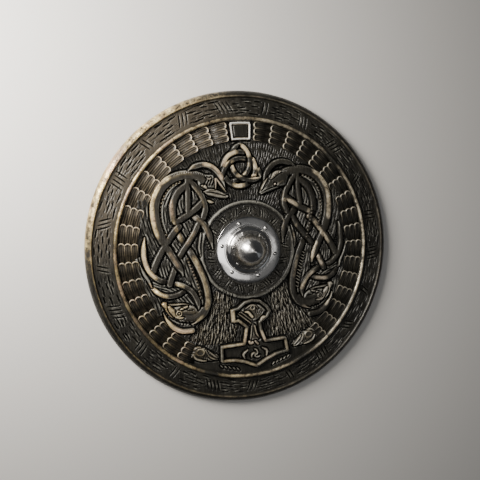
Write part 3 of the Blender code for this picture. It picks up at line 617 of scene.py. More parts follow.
def carve_triquetra(carving):
    """Three half circles whose ends meet in three tips, laced through a ring."""
    middle, ring_middle = shares((-15, 530)), shares((-26, 516))
    tip, ring_radius, band, ring_band, clear_of_tip = 0.143 * R, 0.106 * R, 0.031 * R, 0.033 * R, 0.06 * R
    bow = tip * math.sqrt(0.75)
    paths = {}
    for k in range(3):
        away = math.radians(270 + 120 * k)
        centre = middle + np.array([math.cos(away), math.sin(away)]) * tip / 2
        turn = away + math.pi / 2 + np.linspace(-0.02, 1.02, 60) * math.pi
        paths[k] = centre + np.stack([np.cos(turn), np.sin(turn)], 1) * bow
    turn = np.linspace(0, 2 * math.pi, 90) + 0.3
    paths["ring"] = ring_middle + np.stack([np.cos(turn), np.sin(turn)], 1) * ring_radius
    dips = {name: [] for name in paths}
    for k in range(3):
        after = (k + 1) % 3
        for _, other in crossings(paths[k], paths[after]):
            if clear_of_tip < other < bow * math.pi * 1.04 - clear_of_tip:
                dips[after].append(other)
    meetings = sorted((other, k, place) for k in range(3)
                      for place, other in crossings(paths[k], paths["ring"]))
    for count, (other, k, place) in enumerate(meetings):
        if count % 2 == 0:
            dips["ring"].append(other)
        else:
            dips[k].append(place)
    sizes = {k: (band / 2, 0.018, 0.018) for k in range(3)}
    sizes["ring"] = (ring_band / 2, 0, 0)
    lay_strands(carving, paths, sizes, dips, reach=(0.007, 0.016), calm=0.65)


def carve_hammer(carving):
    """A hammer with a sunken inside and a raised gilded outline, a bird's head in its pommel."""
    cut = Chisel(carving, SCALE_TOP)
    cut.plate(HAMMER, -2.2, soft=2, drop=1, moat=False)
    border = even_steps(closed(shares(HAMMER)), 0.003)
    carving.bead(border, 0.0042, SCALE_TOP + 0.0052, 0.05, calm=0.66)
    for strength, points in HAMMER_GOLD:
        carving.lay_gold(even_steps(shares(points), 0.003), 0.0056, strength, SCALE_TOP + 0.0026)
    cut.plate(((-148, -376), (-118, -374), (-118, -458), (-148, -460)), 5.0, gilt=0.8)
    cut.plate(POMMEL_BIRD, 1.0, gilt=0.05)
    cut.bead(2.0, 2.6, 0.25, (-50, -384), (-20, -366), (0, -362), (22, -370), (40, -392))
    cut.bead(1.8, 2.6, 0.3, (-14, -376), (0, -366), (14, -376), (8, -392), (-8, -392), (-14, -378),
             ends=(0, 0), moat=False)
    cut.groove(2.6, 3.0, (-1, -380), (1, -380))
    cut.bead(4.0, 3.6, 1.0, (-52, -402), (-28, -410), (-6, -440), ends=(1, 0))
    cut.bead(2.2, 2.6, 0.5, (-100, -408), (-62, -440), (-18, -482), ends=(1, 0))
    cut.bead(1.8, 2.6, 0.35, (-78, -400), (-48, -430), (-12, -462), ends=(1, 0))
    cut.bead(2.6, 2.6, 0.7, (92, -448), (62, -452), (42, -478))
    for k in range(5):
        cut.groove(1.2, 2.4, (25 + 15 * k, -392 - 4 * k), (15 + 13 * k, -428))
    cut.plate(SHAFT_BLADE, 1.0, gilt=0.10)
    cut.bead(2.6, 2.6, 0.6, (8, -500), (16, -550), (34, -588))
    cut.bead(1.8, 2.6, 0.3, (-12, -500), (-20, -550), (-28, -590))
    cut.bead(4.0, 2.6, 0.8, (-36, -604), (-28, -616), (-14, -612), ends=(0, 0))
    cut.bead(2.8, 2.6, 0.6, (6, -606), (22, -626), ends=(0, 0))
    for side in (1, -1):
        cut.bead(3.6, 3.2, 0.2, (side * 50, -656), (side * 80, -680), (side * 74, -714))
    for k in range(3):
        start = math.radians(90 + 120 * k)
        swirl = [(34 * s * math.cos(start + 2.2 * s), -692 + 34 * s * math.sin(start + 2.2 * s))
                 for s in np.linspace(0.15, 1.0, 6)]
        cut.bead(2.6, 3.0, 0.2, *swirl, ends=(0, 1))
    for k in range(5):
        across, drop = 232 - 27 * k, 8.5 * k
        for side in (1, -1):
            cut.bead(1.9, -1.0, 0.12, (side * (across + 6), -734 - drop), (side * (across - 10), -752 - drop))


def carve_serpent_head(carving, x, y, turn, mirror):
    """A small snouted head at the lower end of a row of scales."""
    ca, sa = math.cos(math.radians(turn)), math.sin(math.radians(turn))

    def place(points):
        u, v = (np.array(points, float) / 1000 * (1, mirror)).T
        return np.stack([x / 1000 + u * ca - v * sa, y / 1000 + u * sa + v * ca], 1) * R

    cut = Chisel(carving, SCALE_TOP + 0.0026, place)
    cut.plate(SERPENT_SKULL, 0.0, soft=6, drop=3.8, gilt=0.05)
    cut.bead(2.0, 1.2, 0.35, (-62, 10), (-52, 32), (-28, 36), (-12, 20), (-22, 0), (-46, -4), (-60, 6),
             ends=(0, 0), moat=False)
    cut.groove(3.6, 3.0, (-38, 17), (-35, 16))
    for half, rise, gilt, *points in (
            (3.4, 1.2, 0.35, (-78, -8), (-52, -30), (-12, -34), (18, -30)),
            (2.4, 1.0, 0.30, (-84, 16), (-70, 38), (-40, 48)),
            (1.8, 1.0, 0.30, (-6, 38), (22, 4), (58, -10), (90, -12)),
            (2.0, 1.0, 0.30, (14, 32), (44, 18), (84, 0))):
        cut.bead(half, rise, gilt, *points)
    cut.groove(1.4, 3.0, (22, -4), (48, -16), (84, -16))
    for k in range(3):
        cut.groove(1.2, 2.6, (-8 + 14 * k, 8 - 6 * k), (-4 + 13 * k, -22))


def carve_shaggy_patch(carving, rng, sign):
    """The rough cut patch of wood beside the hammer, fanning down from the inner ring."""
    outline = shares(SHAGGY_PATCH, sign)
    carving.plate(outline, FIELD + 0.0046, soft=0.020, drop=0.0046, gilt=0.09, moat=False)
    low, high = outline.min(0), outline.max(0)
    cuts = 0
    while cuts < PATCH_CUTS:
        place = low + (high - low) * rng.random(2)
        if inside(place[0:1], place[1:2], outline)[0]:
            angle = math.atan2(place[1] - 0.16 * R, place[0] - sign * 0.13 * R) + rng.normal(0, 0.07)
            carving.gouge(place, angle, rng.uniform(0.010, 0.024), rng.uniform(0.0007, 0.0012),
                          rng.uniform(0.0014, 0.0034))
            cuts += 1


def carve_plaque(carving):
    """The blank plaque where the two rows of scales meet, with a raised, whitened border."""
    def frame_line(low, high, half):
        turns = np.linspace(-half, half, 7)
        edges = ((low, turns), (high, turns[::-1]))
        return np.vstack([np.stack([np.sin(a), np.cos(a)], 1) * radius for radius, a in edges])

    half = PLAQUE_HALF_ANGLE
    slab = frame_line(FIELD_OUT + 0.0008, RING_IN - 0.0012, half)
    carving.plate(slab, SCALE_TOP + 0.0012, soft=0.003, drop=0.002)
    border = even_steps(closed(frame_line(FIELD_OUT + 0.0036, RING_IN - 0.0042, half * 0.92)), 0.002)
    carving.bead(border, 0.0024, SCALE_TOP + 0.0030, 0.5)
    box, d, _, _, _ = carving.trace(border, 0.003)
    carving.pale[box] = np.maximum(carving.pale[box], 1 - ramp(d, 0.0018, 0.0028))


# ---- cuts on the bands and the ground -------------------------------------------------------------------

def carve_marks(carving, marks, radius, length, apart, half, depth, kinds):
    """Groups of two or more slanted parallel cuts round a band, in some kinds that differ in their number."""
    for m, angle in enumerate(marks):
        turn = math.radians(angle)
        out, around = out_and_round(turn)
        lean = math.pi / 2 - MARK_LEANS[m % 4]
        cuts = 2 + m % kinds
        for j in range(cuts):
            place = out * radius + around * (j - (cuts - 1) / 2) * apart
            carving.gouge(place, lean - turn, length, half, depth)


def near_mark(angle, marks, room):
    """Whether an angle lies within some degrees of a group of slanted cuts."""
    return np.abs((angle - marks + 180) % 360 - 180).min() < room


def carve_scratches(carving, rng, count, radii, stray, depth, marks):
    """Fine scratches that run round the board between two shares of R, clear of the marks."""
    for _ in range(count):
        turn = rng.uniform(0, math.tau)
        if not near_mark(math.degrees(turn), marks, SCRATCH_ROOM):
            carving.gouge_round(turn, rng.uniform(*radii) * R, rng.normal(0, stray),
                                rng.uniform(0.008, 0.018), 0.0009, depth)


def carve_stroke_band(carving, rng):
    """Rows of dashes round the outer band, with a group of slanted cuts now and then, and whitening on its
    upper left that is painted light.
    """
    for radius, shift in DASH_ROWS:
        for j in range(DASHES_A_ROW):
            angle = (j + shift) * 360.0 / DASHES_A_ROW + rng.normal(0, 0.6)
            if not near_mark(angle, BAND_MARKS, DASH_ROOM):
                carving.gouge_round(math.radians(angle), (radius + rng.normal(0, 0.003)) * R,
                                    rng.normal(0, 0.05), rng.uniform(0.018, 0.031), 0.0017,
                                    rng.uniform(0.0032, 0.0042))
    carve_scratches(carving, rng, BAND_SCRATCHES, (0.850, 0.948), stray=0.08, depth=0.0010, marks=BAND_MARKS)
    carve_marks(carving, BAND_MARKS, radius=0.899 * R, length=0.032, apart=0.0100, half=0.0016, depth=0.0040,
                kinds=3)
    # Whitening on the band's upper left: painted light
    painted_light = lit_side_share(np.degrees(np.arctan2(carving.axis[None], carving.axis[:, None])), 0.65, 0.95)
    carving.pale += 0.070 * painted_light * ((carving.radius > RING_OUT) & (carving.radius < RIM_IN))


def carve_inner_band(carving, rng):
    """The band round the boss, with smaller groups of slanted cuts."""
    carve_scratches(carving, rng, INNER_SCRATCHES, (0.220, 0.286), stray=0.9, depth=0.0012, marks=INNER_MARKS)
    carve_marks(carving, INNER_MARKS, radius=0.252 * R, length=0.021, apart=0.0070, half=0.0015, depth=0.0030,
                kinds=2)


def carve_ground(carving, rng):
    """Short radial cuts over the bare ground of the field."""
    for radius in np.arange(0.345, 0.69, 0.040):
        for angle in np.arange(0, 360, 0.94 / radius):
            turn = math.radians(angle + rng.normal(0, 0.25))
            carving.gouge_round(turn, (radius + rng.normal(0, 0.008)) * R, math.pi / 2 + rng.normal(0, 0.05),
                                rng.uniform(0.013, 0.022), 0.0012, rng.uniform(0.0016, 0.0026))


def blurred(values, sigma):
    """A soft average of a grid, made of three box averages each way."""
    half = max(1, round(sigma / CELL))
    width = 2 * half + 1
    for axis in (0, 1):
        for _ in range(3):
            pad = [(0, 0), (0, 0)]
            pad[axis] = (half + 1, half)
            total = np.cumsum(np.pad(values, pad, mode="edge"), axis=axis)
            values = (np.take(total, range(width, total.shape[axis]), axis=axis)
                      - np.take(total, range(total.shape[axis] - width), axis=axis)) / width
    return values


def carve_board():
    """The whole carving, and the grids that the meshes and their material read from it."""
    rng = np.random.default_rng(7)
    carving = Carving()
    carve_ground(carving, rng)
    carve_stroke_band(carving, rng)
    carve_inner_band(carving, rng)
    carve_plaque(carving)
    for sign in (-1, 1):
        carve_shaggy_patch(carving, rng, sign)
    for sign in (1, -1):
        carve_beast(carving, sign)
    carve_triquetra(carving)
    for strength, half, points in GOLD:
        carving.lay_gold(smooth(shares(points)), half, strength, FIELD + 0.0040)
    for head in SERPENT_HEADS:
        carve_serpent_head(carving, *head)
    carve_hammer(carving)
    deepest = np.where(carving.radius < IRING_OUT, SEAM + SEAM_COVER, FIELD - FIELD_DEPTH)
    carved = np.maximum(carving.height, deepest)
    height = blurred(carved, CELL) * 0.5 + carved * 0.5
    slope_y, slope_x = np.gradient(height, CELL)
    ridges, hollows = (height - blurred(height, sigma) for sigma in (RIDGE_BLUR, HOLLOW_BLUR))
    leaf = blurred(carving.gilt, LEAF_BLUR)
    return np.stack([height, slope_x, slope_y, ridges, hollows, leaf, carving.pale, carving.calm])


def sampled(grids, x, y):
    """Each grid's value at the given places."""
    most = grids.shape[1] - 2
    u = np.clip((x + REACH) / CELL, 0, most)
    v = np.clip((y + REACH) / CELL, 0, most)
    i, j = u.astype(int), v.astype(int)
    s, t = u - i, v - j
    return (grids[:, j, i] * (1 - s) * (1 - t) + grids[:, j, i + 1] * s * (1 - t)
            + grids[:, j + 1, i] * (1 - s) * t + grids[:, j + 1, i + 1] * s * t)


# ---- meshes ---------------------------------------------------------------------------------------------

# The values for wood with no rubbing or painted highlight, no painted shade, no leaf and no whitening
PLAIN = (0.5, 0.5, 0.0, 0.0)
# How deep the tool facets of the two mouldings are, and how fine the carved faces are divided
RIM_FACETS, RING_FACETS = 0.00022, 0.00018
BAND_STEP, FIELD_STEP, UNDER_SCALES_STEP = 0.0010, 0.0011, 0.003


def in_scene(name, data):
    """A new object at the origin."""
    thing = bpy.data.objects.new(name, data)
    bpy.context.scene.collection.objects.link(thing)
    return thing


def new_mesh(name, points, faces, edges=()):
    mesh = bpy.data.meshes.new(name)
    mesh.from_pydata(points, edges, faces)
    return mesh


def built_mesh(name, build):
    """A mesh made by a function that is given a builder."""
    mesh = bpy.data.meshes.new(name)
    builder = bmesh.new()
    build(builder)
    builder.to_mesh(mesh)
    builder.free()
    return mesh


def plain_copy(name, thing):
    """A plain mesh of what an object's modifiers make."""
    mesh = bpy.data.meshes.new_from_object(thing.evaluated_get(bpy.context.evaluated_depsgraph_get()))
    mesh.name = name
    return mesh


def read(items, field, width=1, kind=np.float32):
    """One field of every item of a mesh, a row for each."""
    values = np.empty(len(items) * width, kind)
    items.foreach_get(field, values)
    return values.reshape(-1, width)


def add_piece(name, mesh, material, node):
    piece = in_scene(name, mesh)
    mesh.materials.clear()
    mesh.materials.append(material)
    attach(piece, "root")
    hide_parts(*([node] if isinstance(node, str) else node))


def add_finish(mesh, values):
    """Stores, for the material, how rubbed each vertex is with its painted highlight and groove shade, its
    painted shade in hollows, its leaf and its whitening, which is partly painted light.
    """
    stored = mesh.attributes.new("finish", "FLOAT_COLOR", "POINT")
    stored.data.foreach_set("color", np.asarray(values, np.float32).ravel())


def annulus(name, radii, steps, surface, arc=None, base=0.0, chamfer=0.0):
    """A closed block between two radii. surface gives height, slopes and the surface values with their
    painted shading at x, y; the back is flat.
    arc limits it to a sector between two angles, in degrees from the top."""
    if arc:
        turns = np.linspace(*map(math.radians, arc), steps)
    else:
        turns = np.linspace(0, math.tau, steps, endpoint=False)
    x, y = radii[:, None] * np.sin(turns), radii[:, None] * np.cos(turns)
    z, slope_x, slope_y, finish = surface(x, y)
    level = np.full(steps, base)
    near = 1 - chamfer / radii[-1]
    rings = [*zip(x, y, z), (x[0], y[0], level), (x[-1] * near, y[-1] * near, level)]
    if chamfer:
        rings.append((x[-1], y[-1], level + chamfer))
    points = np.concatenate([np.stack(ring, 1) for ring in rings])
    rows = len(radii)
    inner, outer, middle = rows, rows + 1, len(rings) - 1
    pairs = [(k, k + 1) for k in range(rows - 1)] + [(rows - 1, middle)]
    if chamfer:
        pairs.append((middle, outer))
    pairs += [(inner, 0), (outer, inner)]
    index = np.arange(len(points)).reshape(-1, steps)
    here = np.arange(steps - 1 if arc else steps)
    ahead = (here + 1) % steps
    faces = np.concatenate([np.stack([index[a, here], index[a, ahead], index[b, ahead], index[b, here]], 1)
                            for a, b in pairs]).tolist()
    if arc:
        faces.append(index[[*range(rows), outer, inner], 0].tolist())
        faces.append(index[[*reversed(range(rows)), inner, outer], -1].tolist())
    mesh = new_mesh(name, points.tolist(), faces)
    mesh.update()
    mesh.shade_smooth()
    tops = np.stack([-slope_x, -slope_y, np.ones_like(z)], -1).reshape(-1, 3)
    tops /= np.linalg.norm(tops, axis=1, keepdims=True)
    carved = (rows - 1) * len(here) * 4
    corners = read(mesh.loops, "vertex_index", kind=np.int32)[:carved, 0]
    sizes = read(mesh.polygons, "loop_total", kind=np.int32)[:, 0]
    normals = np.repeat(read(mesh.polygons, "normal", 3), sizes, axis=0)
    normals[:carved] = tops[corners]
    mesh.normals_split_custom_set(normals)
    add_finish(mesh, np.concatenate([finish.reshape(-1, 4), np.tile(PLAIN, (len(points) - z.size, 1))]))
    return mesh


def carved_surface(grids, low, high):
    """A surface read from the grids, kept clear of the steps at its two edges."""
    edge = CELL * 1.2

    def surface(x, y):
        r = np.hypot(x, y)
        pull = np.clip(r, low + edge, high - edge) / r
        z, slope_x, slope_y, ridges, hollows, gilt, pale, calm = sampled(grids, x * pull, y * pull)
        # Rubbing with a painted highlight on ridges and painted shade in grooves, and painted shade in
        # hollows
        wear_and_shading = np.clip(0.5 + ridges * (1 - calm) / RIDGE_RISE, 0, 1)
        hollow_shade = np.clip(0.5 + hollows / HOLLOW_RISE, 0, 1)
        return z, slope_x, slope_y, np.stack([wear_and_shading, hollow_shade, gilt, pale], -1)
    return surface


def moulding_surface(profile, facets, wear_and_light):
    """A turned moulding with shallow tool facets. The function given last tells how rubbed and how gilded it
    is at a radius and angle, painted light and shade included.
    """
    def height(x, y):
        r, turn = np.hypot(x, y), np.arctan2(x, y)
        wave = np.sin(turn * 223 + 3 * np.sin(turn * 17)) * np.sin(turn * 91 + r * 900)
        wave += 0.6 * np.sin(turn * 611 + 5 * np.sin(turn * 29) + r * 1500)
        return profile(r) + facets * wave

    def surface(x, y):
        step = 0.0002
        z = height(x, y)
        slope_x = (height(x + step, y) - height(x - step, y)) / (2 * step)
        slope_y = (height(x, y + step) - height(x, y - step)) / (2 * step)
        wear_and_shading, gilt = wear_and_light(np.hypot(x, y), np.degrees(np.arctan2(x, y)) % 360)
        return z, slope_x, slope_y, np.stack([wear_and_shading, np.full_like(z, 0.55), gilt, np.zeros_like(z)], -1)
    return surface


def rim_wear_and_light(r, angle):
    """Bright leaf and lighter rubbing on the upper left of the rim, a painted light; elsewhere the rim is
    darker, a painted shade, and only its crest is rubbed.
    """
    crest = np.exp(-((r - RIM_IN - 0.0032) / 0.0016) ** 2)
    edge = np.exp(-((r - R + 0.0012) / 0.0016) ** 2)
    left = lit_side_share(angle, 0.66, 0.98)
    rubbed = (0.22 + 0.18 * left) * np.maximum(crest, 0.4 * edge)
    return 0.36 + 0.19 * left + rubbed, np.clip(0.98 * left + 0.18 * crest, 0, 1)


def ring_wear_and_shade(r, angle):
    """Leaf round the whole ring, thickest at the upper left, thin in three places. Its feet are darker than
    its top, a painted shade.
    """
    top = 1 - np.abs(2 * r - RING_IN - RING_OUT) / (RING_OUT - RING_IN)
    gilt = np.interp(angle, *zip(*RING_LEAF)) + 0.08 * np.sin(np.radians(angle * 7))
    for middle, width in ((157, 7), (202, 4), (48, 4)):
        gilt = gilt - 0.75 * np.exp(-((angle - middle) / width) ** 2)
    return 0.30 + 0.30 * ramp(top, 0.0, 0.7), gilt * ramp(top, 0.0, 0.45)


def spaced(low, high, step):
    return np.linspace(low, high, max(2, round((high - low) / step) + 1))


def eased(low, high, count):
    """Radii packed closer towards both edges, for a moulding's steep feet."""
    return (low + high) / 2 - (high - low) / 2 * np.cos(np.linspace(0, math.pi, count))


def make_board(grids, wood):
    """The board's mouldings and carved blocks, each with its radii, its steps round and its surface."""
    rim = moulding_surface(rim_moulding, RIM_FACETS, rim_wear_and_light)
    ring = moulding_surface(ring_moulding, RING_FACETS, ring_wear_and_shade)
    band = carved_surface(grids, RING_OUT, RIM_IN)
    seat = carved_surface(grids, 0.0, IRING_OUT)
    scales = carved_surface(grids, FIELD_OUT, RING_IN)
    field = carved_surface(grids, IRING_OUT, FIELD_OUT)
    outer_field = spaced(FIELD_SPLIT, FIELD_OUT, FIELD_STEP)
    for name, radii, steps, surface, more in (
            ("board_rim", eased(RIM_IN, R, 19), 1500, rim, {"chamfer": BACK_CHAMFER}),
            ("board_stroke_band", spaced(RING_OUT, RIM_IN, BAND_STEP), 1960, band, {}),
            ("board_ring", eased(RING_IN, RING_OUT, 15), 1400, ring, {}),
            ("board_scale_band", spaced(FIELD_OUT, RING_IN, UNDER_SCALES_STEP), 500, scales,
             {"arc": (-148, 143)}),
            ("board_scale_foot", spaced(FIELD_OUT, RING_IN, FIELD_STEP), 340, scales, {"arc": (143, 212)}),
            ("board_field_inner", spaced(IRING_OUT, FIELD_SPLIT, FIELD_STEP), 1090, field, {}),
            ("board_field_right", outer_field, 760, field, {"arc": (0, 180)}),
            ("board_field_left", outer_field, 760, field, {"arc": (180, 360)}),
            ("board_seat", spaced(SEAT_IN, IRING_OUT, BAND_STEP), 760, seat, {"base": SEAM})):
        add_piece(name, annulus(name, radii, steps, surface, **more), wood, "board")
    add_piece("board_seat_back", hollowed_seat("board_seat_back"), wood, "board")


def turned_mesh(name, profile, steps):
    """Turns an open profile of (radius, height), from the axis to the axis, into a closed solid."""
    def turn(builder):
        rings = []
        for radius, height in profile:
            if radius == 0.0:
                rings.append([builder.verts.new((0.0, 0.0, height))] * steps)
                continue
            turns = [math.tau * k / steps for k in range(steps)]
            places = [(radius * math.cos(a), radius * math.sin(a), height) for a in turns]
            rings.append([builder.verts.new(place) for place in places])
        for first, second in zip(rings, rings[1:]):
            for k in range(steps):
                corners = [first[k], first[(k + 1) % steps], second[(k + 1) % steps], second[k]]
                builder.faces.new(list(dict.fromkeys(corners)))
        bmesh.ops.recalc_face_normals(builder, faces=builder.faces)

    mesh = built_mesh(name, turn)
    mesh.shade_smooth()
    mesh.set_sharp_from_angle(angle=math.radians(40.0))
    return mesh


def rivet_names():
    return sorted(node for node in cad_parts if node.startswith("boss_rivet_"))


def middle_of(node):
    low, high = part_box(node)
    return (low + high) / 2


def hollowed_seat(name):
    """The wood behind the boss, with the hand hole, the rivet holes and the grip's housing. What cuts them
    reaches out past its faces."""
    def holes(builder):
        rivets = [(*middle_of(rivet).xy, RIVET_HOLE, 20) for rivet in rivet_names()]
        for x, y, radius, steps in [(0, 0, HAND_HOLE, 96), *rivets]:
            bmesh.ops.create_cone(builder, cap_ends=True, segments=steps, radius1=radius, radius2=radius,
                                  depth=0.06, matrix=Matrix.Translation((x, y, 0.01)))

    def housing(builder):
        half_x, half_y, depth = GRIP_HOUSING
        size = Matrix.Diagonal((2 * half_x, 2 * half_y, depth + 0.01, 1))
        bmesh.ops.create_cube(builder, size=1.0, matrix=Matrix.Translation((0, 0, (depth - 0.01) / 2)) @ size)

    profile = [(0.0, 0.0), (IRING_OUT, 0.0), (IRING_OUT, SEAM), (SEAT_IN, SEAM), (SEAT_IN, INNER_BAND_TOP),
               (0.0, INNER_BAND_TOP)]
    used = [in_scene("uncut_seat", turned_mesh("uncut_seat", profile, 180))]
    for tool, build in (("holes", holes), ("housing", housing)):
        used.append(in_scene(tool, built_mesh(tool, build)))
        cut = used[0].modifiers.new(tool, "BOOLEAN")
        cut.operation = "DIFFERENCE"
        cut.solver = "EXACT"
        cut.object = used[-1]
    mesh = plain_copy(name, used[0])
    for thing in used:
        bpy.data.objects.remove(thing, do_unlink=True)
    mesh.shade_flat()
    add_finish(mesh, np.tile(PLAIN, (len(mesh.vertices), 1)))
    return mesh


# ---- node trees -----------------------------------------------------------------------------------------

class Signal:
    """A node's output. Adding, subtracting, multiplying and dividing it make Math nodes."""

    def __init__(self, nodes, socket):
        self.nodes = nodes
        self.socket = socket

    def __add__(self, other):
        return self.nodes.math("ADD", self, other)

    def __sub__(self, other):
        return self.nodes.math("SUBTRACT", self, other)

    def __mul__(self, other):
        return self.nodes.math("MULTIPLY", self, other)

    def __truediv__(self, other):
        return self.nodes.math("DIVIDE", self, other)


class Nodes:
    """A node tree built step by step. An input is given a signal or a constant; a colour needs no alpha."""

    def __init__(self, tree):
        self.tree = tree

    def feed(self, node, inputs):
        for key, value in inputs.items():
            socket = node.inputs[key]
            if isinstance(value, Signal):
                self.tree.links.new(value.socket, socket)
            else:
                socket.default_value = (*value, 1.0)[:4] if socket.type == "RGBA" else value

    def add(self, kind, inputs=None, **settings):
        """A new node's outputs."""
        node = self.tree.nodes.new(kind)
        for key, value in settings.items():
            setattr(node, key, value)
        self.feed(node, inputs or {})
        return node.outputs

    def out(self, kind, inputs=None, output=0, **settings):
        return Signal(self, self.add(kind, inputs, **settings)[output])

    def parts(self, kind, whole):
        """The three parts of a colour or a vector."""
        return [Signal(self, socket) for socket in self.add(kind, {0: whole})]

    def math(self, operation, first, second=0.0):
        return self.out("ShaderNodeMath", {0: first, 1: second}, operation=operation)

    def vector(self, *parts):
        return self.out("ShaderNodeCombineXYZ", dict(enumerate(parts)))


# ---- materials ------------------------------------------------------------------------------------------

class Finish(Nodes):
    """A node material."""

    def __init__(self, name):
        self.material = bpy.data.materials.new(name)
        self.material.use_nodes = True
        super().__init__(self.material.node_tree)
        self.place = self.out("ShaderNodeTexCoord", output="Object")

    def noise(self, scale, detail=3.0, rough=0.6, stretch=(1, 1, 1), distortion=0.0):
        spot = self.out("ShaderNodeMapping", {"Vector": self.place, "Scale": stretch})
        return self.out("ShaderNodeTexNoise", {"Vector": spot, "Scale": scale, "Detail": detail,
                                               "Roughness": rough, "Distortion": distortion}, "Fac")

    def span(self, value, low, high, to_low=0.0, to_high=1.0):
        """Carries a range of values smoothly over to another range."""
        return self.out("ShaderNodeMapRange", {"Value": value, "From Min": low, "From Max": high,
                                               "To Min": to_low, "To Max": to_high}, "Result",
                        interpolation_type="SMOOTHSTEP")

    def mix(self, share, first, second):
        """Two colours mixed, with this share of the second."""
        return self.out("ShaderNodeMix", {"Factor": share, 6: first, 7: second}, 2, data_type="RGBA")

    def bump(self, height, distance, strength):
        inputs = {"Distance": distance, "Strength": strength, "Height": height}
        return self.out("ShaderNodeBump", inputs, "Normal")

    def paint(self, inputs):
        self.feed(self.tree.nodes["Principled BSDF"], inputs)
        return self.material


def carved_wood():
    """Near-black stained wood, dry-brushed grey on its ridges and gilded in places. The grey on the ridges is
    partly a painted highlight; the hollows and grooves get painted shade, the upper left painted light and
    the leaf on the right painted shade.
    """
    f = Finish("dark_carved_wood")
    stored = f.add("ShaderNodeAttribute", attribute_name="finish")
    wear_and_shading, hollow_shade, gilt = f.parts("ShaderNodeSeparateColor", Signal(f, stored["Color"]))
    pale = Signal(f, stored["Alpha"])
    broad = f.noise(14.0)
    patch = f.noise(60.0, 5.0, 0.65)
    fine = f.noise(420.0)
    grain = f.noise(55.0, 5.0, 0.6, (7.0, 0.7, 7.0), 0.6)
    mottle = f.noise(200.0)
    uneven = patch * 0.65 + mottle * 0.45 - 0.55
    # Stain, and the grey brushed over its ridges, partly a painted highlight
    ground = f.mix(f.span(broad, 0.35, 0.65), (0.009, 0.0085, 0.007), (0.021, 0.020, 0.016))
    ground = f.mix(f.span(grain, 0.42, 0.70, 0.0, 0.45), ground, (0.050, 0.047, 0.039))
    rough = wear_and_shading + ((grain - 0.5) * 0.55 + uneven * 0.5)
    colour = f.mix(f.span(rough, 0.68, 1.08, 0.0, 0.90), ground, (0.212, 0.209, 0.184))
    # Gold leaf, rubbed and pitted, coppery in patches, brighter and yellower where it is strongest, a painted
    # highlight, and greyer towards the right, a painted shade away from the light
    rubbed = f.span(f.noise(26.0, 3.0, 0.55), 0.38, 0.58, 0.50, 1.0)
    pits = f.span(mottle, 0.34, 0.45, 0.50, 1.0)
    leaf = f.span(wear_and_shading + uneven * 1.5, 0.26, 0.60) * rubbed * gilt
    leaf = f.math("MINIMUM", leaf, 1.0) * pits
    # Brighter, yellower gold on the strongest leaf: a painted highlight
    painted_gleam = f.span(gilt, 0.9, 1.6) * 0.30
    gold = f.mix(f.span(patch + painted_gleam, 0.38, 0.72), (0.40, 0.28, 0.12), (0.99, 0.80, 0.40))
    gold = f.mix(f.span(broad, 0.50, 0.64, 0.0, 0.65), gold, (0.67, 0.45, 0.31))
    # Greyer gold towards the right: painted shade away from the light
    shaded_gold = f.mix(f.span(patch, 0.38, 0.72), (0.30, 0.28, 0.23), (0.74, 0.69, 0.58))
    across = f.parts("ShaderNodeSeparateXYZ", f.place)[0]
    gold = f.mix(f.span(across, -0.38, 0.22, 0.0, 0.75), gold, shaded_gold)
    colour = f.mix(leaf, colour, gold)
    # Painted shade in the hollows and grooves, then whitening: part paint, part painted light on the upper
    # left and on the strongest leaf
    shade = f.span(hollow_shade, 0.12, 0.56, 0.10, 1.0) * f.span(wear_and_shading, 0.10, 0.48, 0.22, 1.0)
    colour = f.mix(shade, (0.003, 0.003, 0.0025), colour)
    whitening_and_light = f.mix(f.span(pale, 0.35, 0.85), (0.66, 0.54, 0.38), (0.80, 0.79, 0.75))
    colour = f.mix(pale * shade * f.span(rough, 0.20, 0.80, 0.45, 1.25), colour, whitening_and_light)
    return f.paint({
        "Base Color": colour,
        "Metallic": leaf * 0.35,
        "Roughness": f.span(fine + leaf * -0.25, 0.2, 0.8, 0.24, 0.46),
        "Specular IOR Level": 0.35,
        "Normal": f.bump(grain * 0.6 + fine * 0.5, 0.0006, 0.8),
    })


def polished_steel():
    """Bright steel with smears and tarnish, dented where it is domed."""
    f = Finish("polished_boss_steel")
    smear = f.noise(16.0, 3.0, 0.55)
    tarnish = f.noise(46.0, 5.0, 0.65)
    scratch = f.noise(240.0, 2.0, 0.5, (1.0, 9.0, 1.0))
    dents = f.noise(38.0, 2.0, 0.5)
    height = f.parts("ShaderNodeSeparateXYZ", f.place)[2]
    domed = f.span(height, BOSS_LOW.z + 0.006, BOSS_LOW.z + 0.014)
    steel = f.mix(f.span(smear, 0.30, 0.62), (0.52, 0.51, 0.50), (0.84, 0.83, 0.81))
    return f.paint({
        "Base Color": f.mix(f.span(tarnish, 0.56, 0.74, 0.0, 0.6), steel, (0.24, 0.22, 0.21)),
        "Metallic": 1.0,
        "Roughness": f.span(smear + scratch * 0.15, 0.3, 0.9, 0.08, 0.16) + domed * 0.10,
        "Normal": f.bump(dents * domed + tarnish * 0.06, 0.0022, 0.6),
    })


def rivet_steel():
    f = Finish("rivet_head_steel")
    smear = f.noise(90.0)
    return f.paint({
        "Base Color": f.mix(f.span(smear, 0.3, 0.7), (0.55, 0.54, 0.52), (0.72, 0.71, 0.69)),
        "Metallic": 1.0,
        "Roughness": f.span(smear, 0.25, 0.75, 0.18, 0.32),
    })


def grip_wood():
    f = Finish("worn_grip_wood")
    grain = f.noise(60.0, 5.0, 0.6, (6.0, 0.6, 6.0), 0.5)
    return f.paint({
        "Base Color": f.mix(f.span(grain, 0.35, 0.70), (0.060, 0.036, 0.020), (0.145, 0.092, 0.052)),
        "Roughness": f.span(f.noise(30.0), 0.3, 0.7, 0.42, 0.62),
        "Normal": f.bump(grain, 0.0005, 0.7),
    })


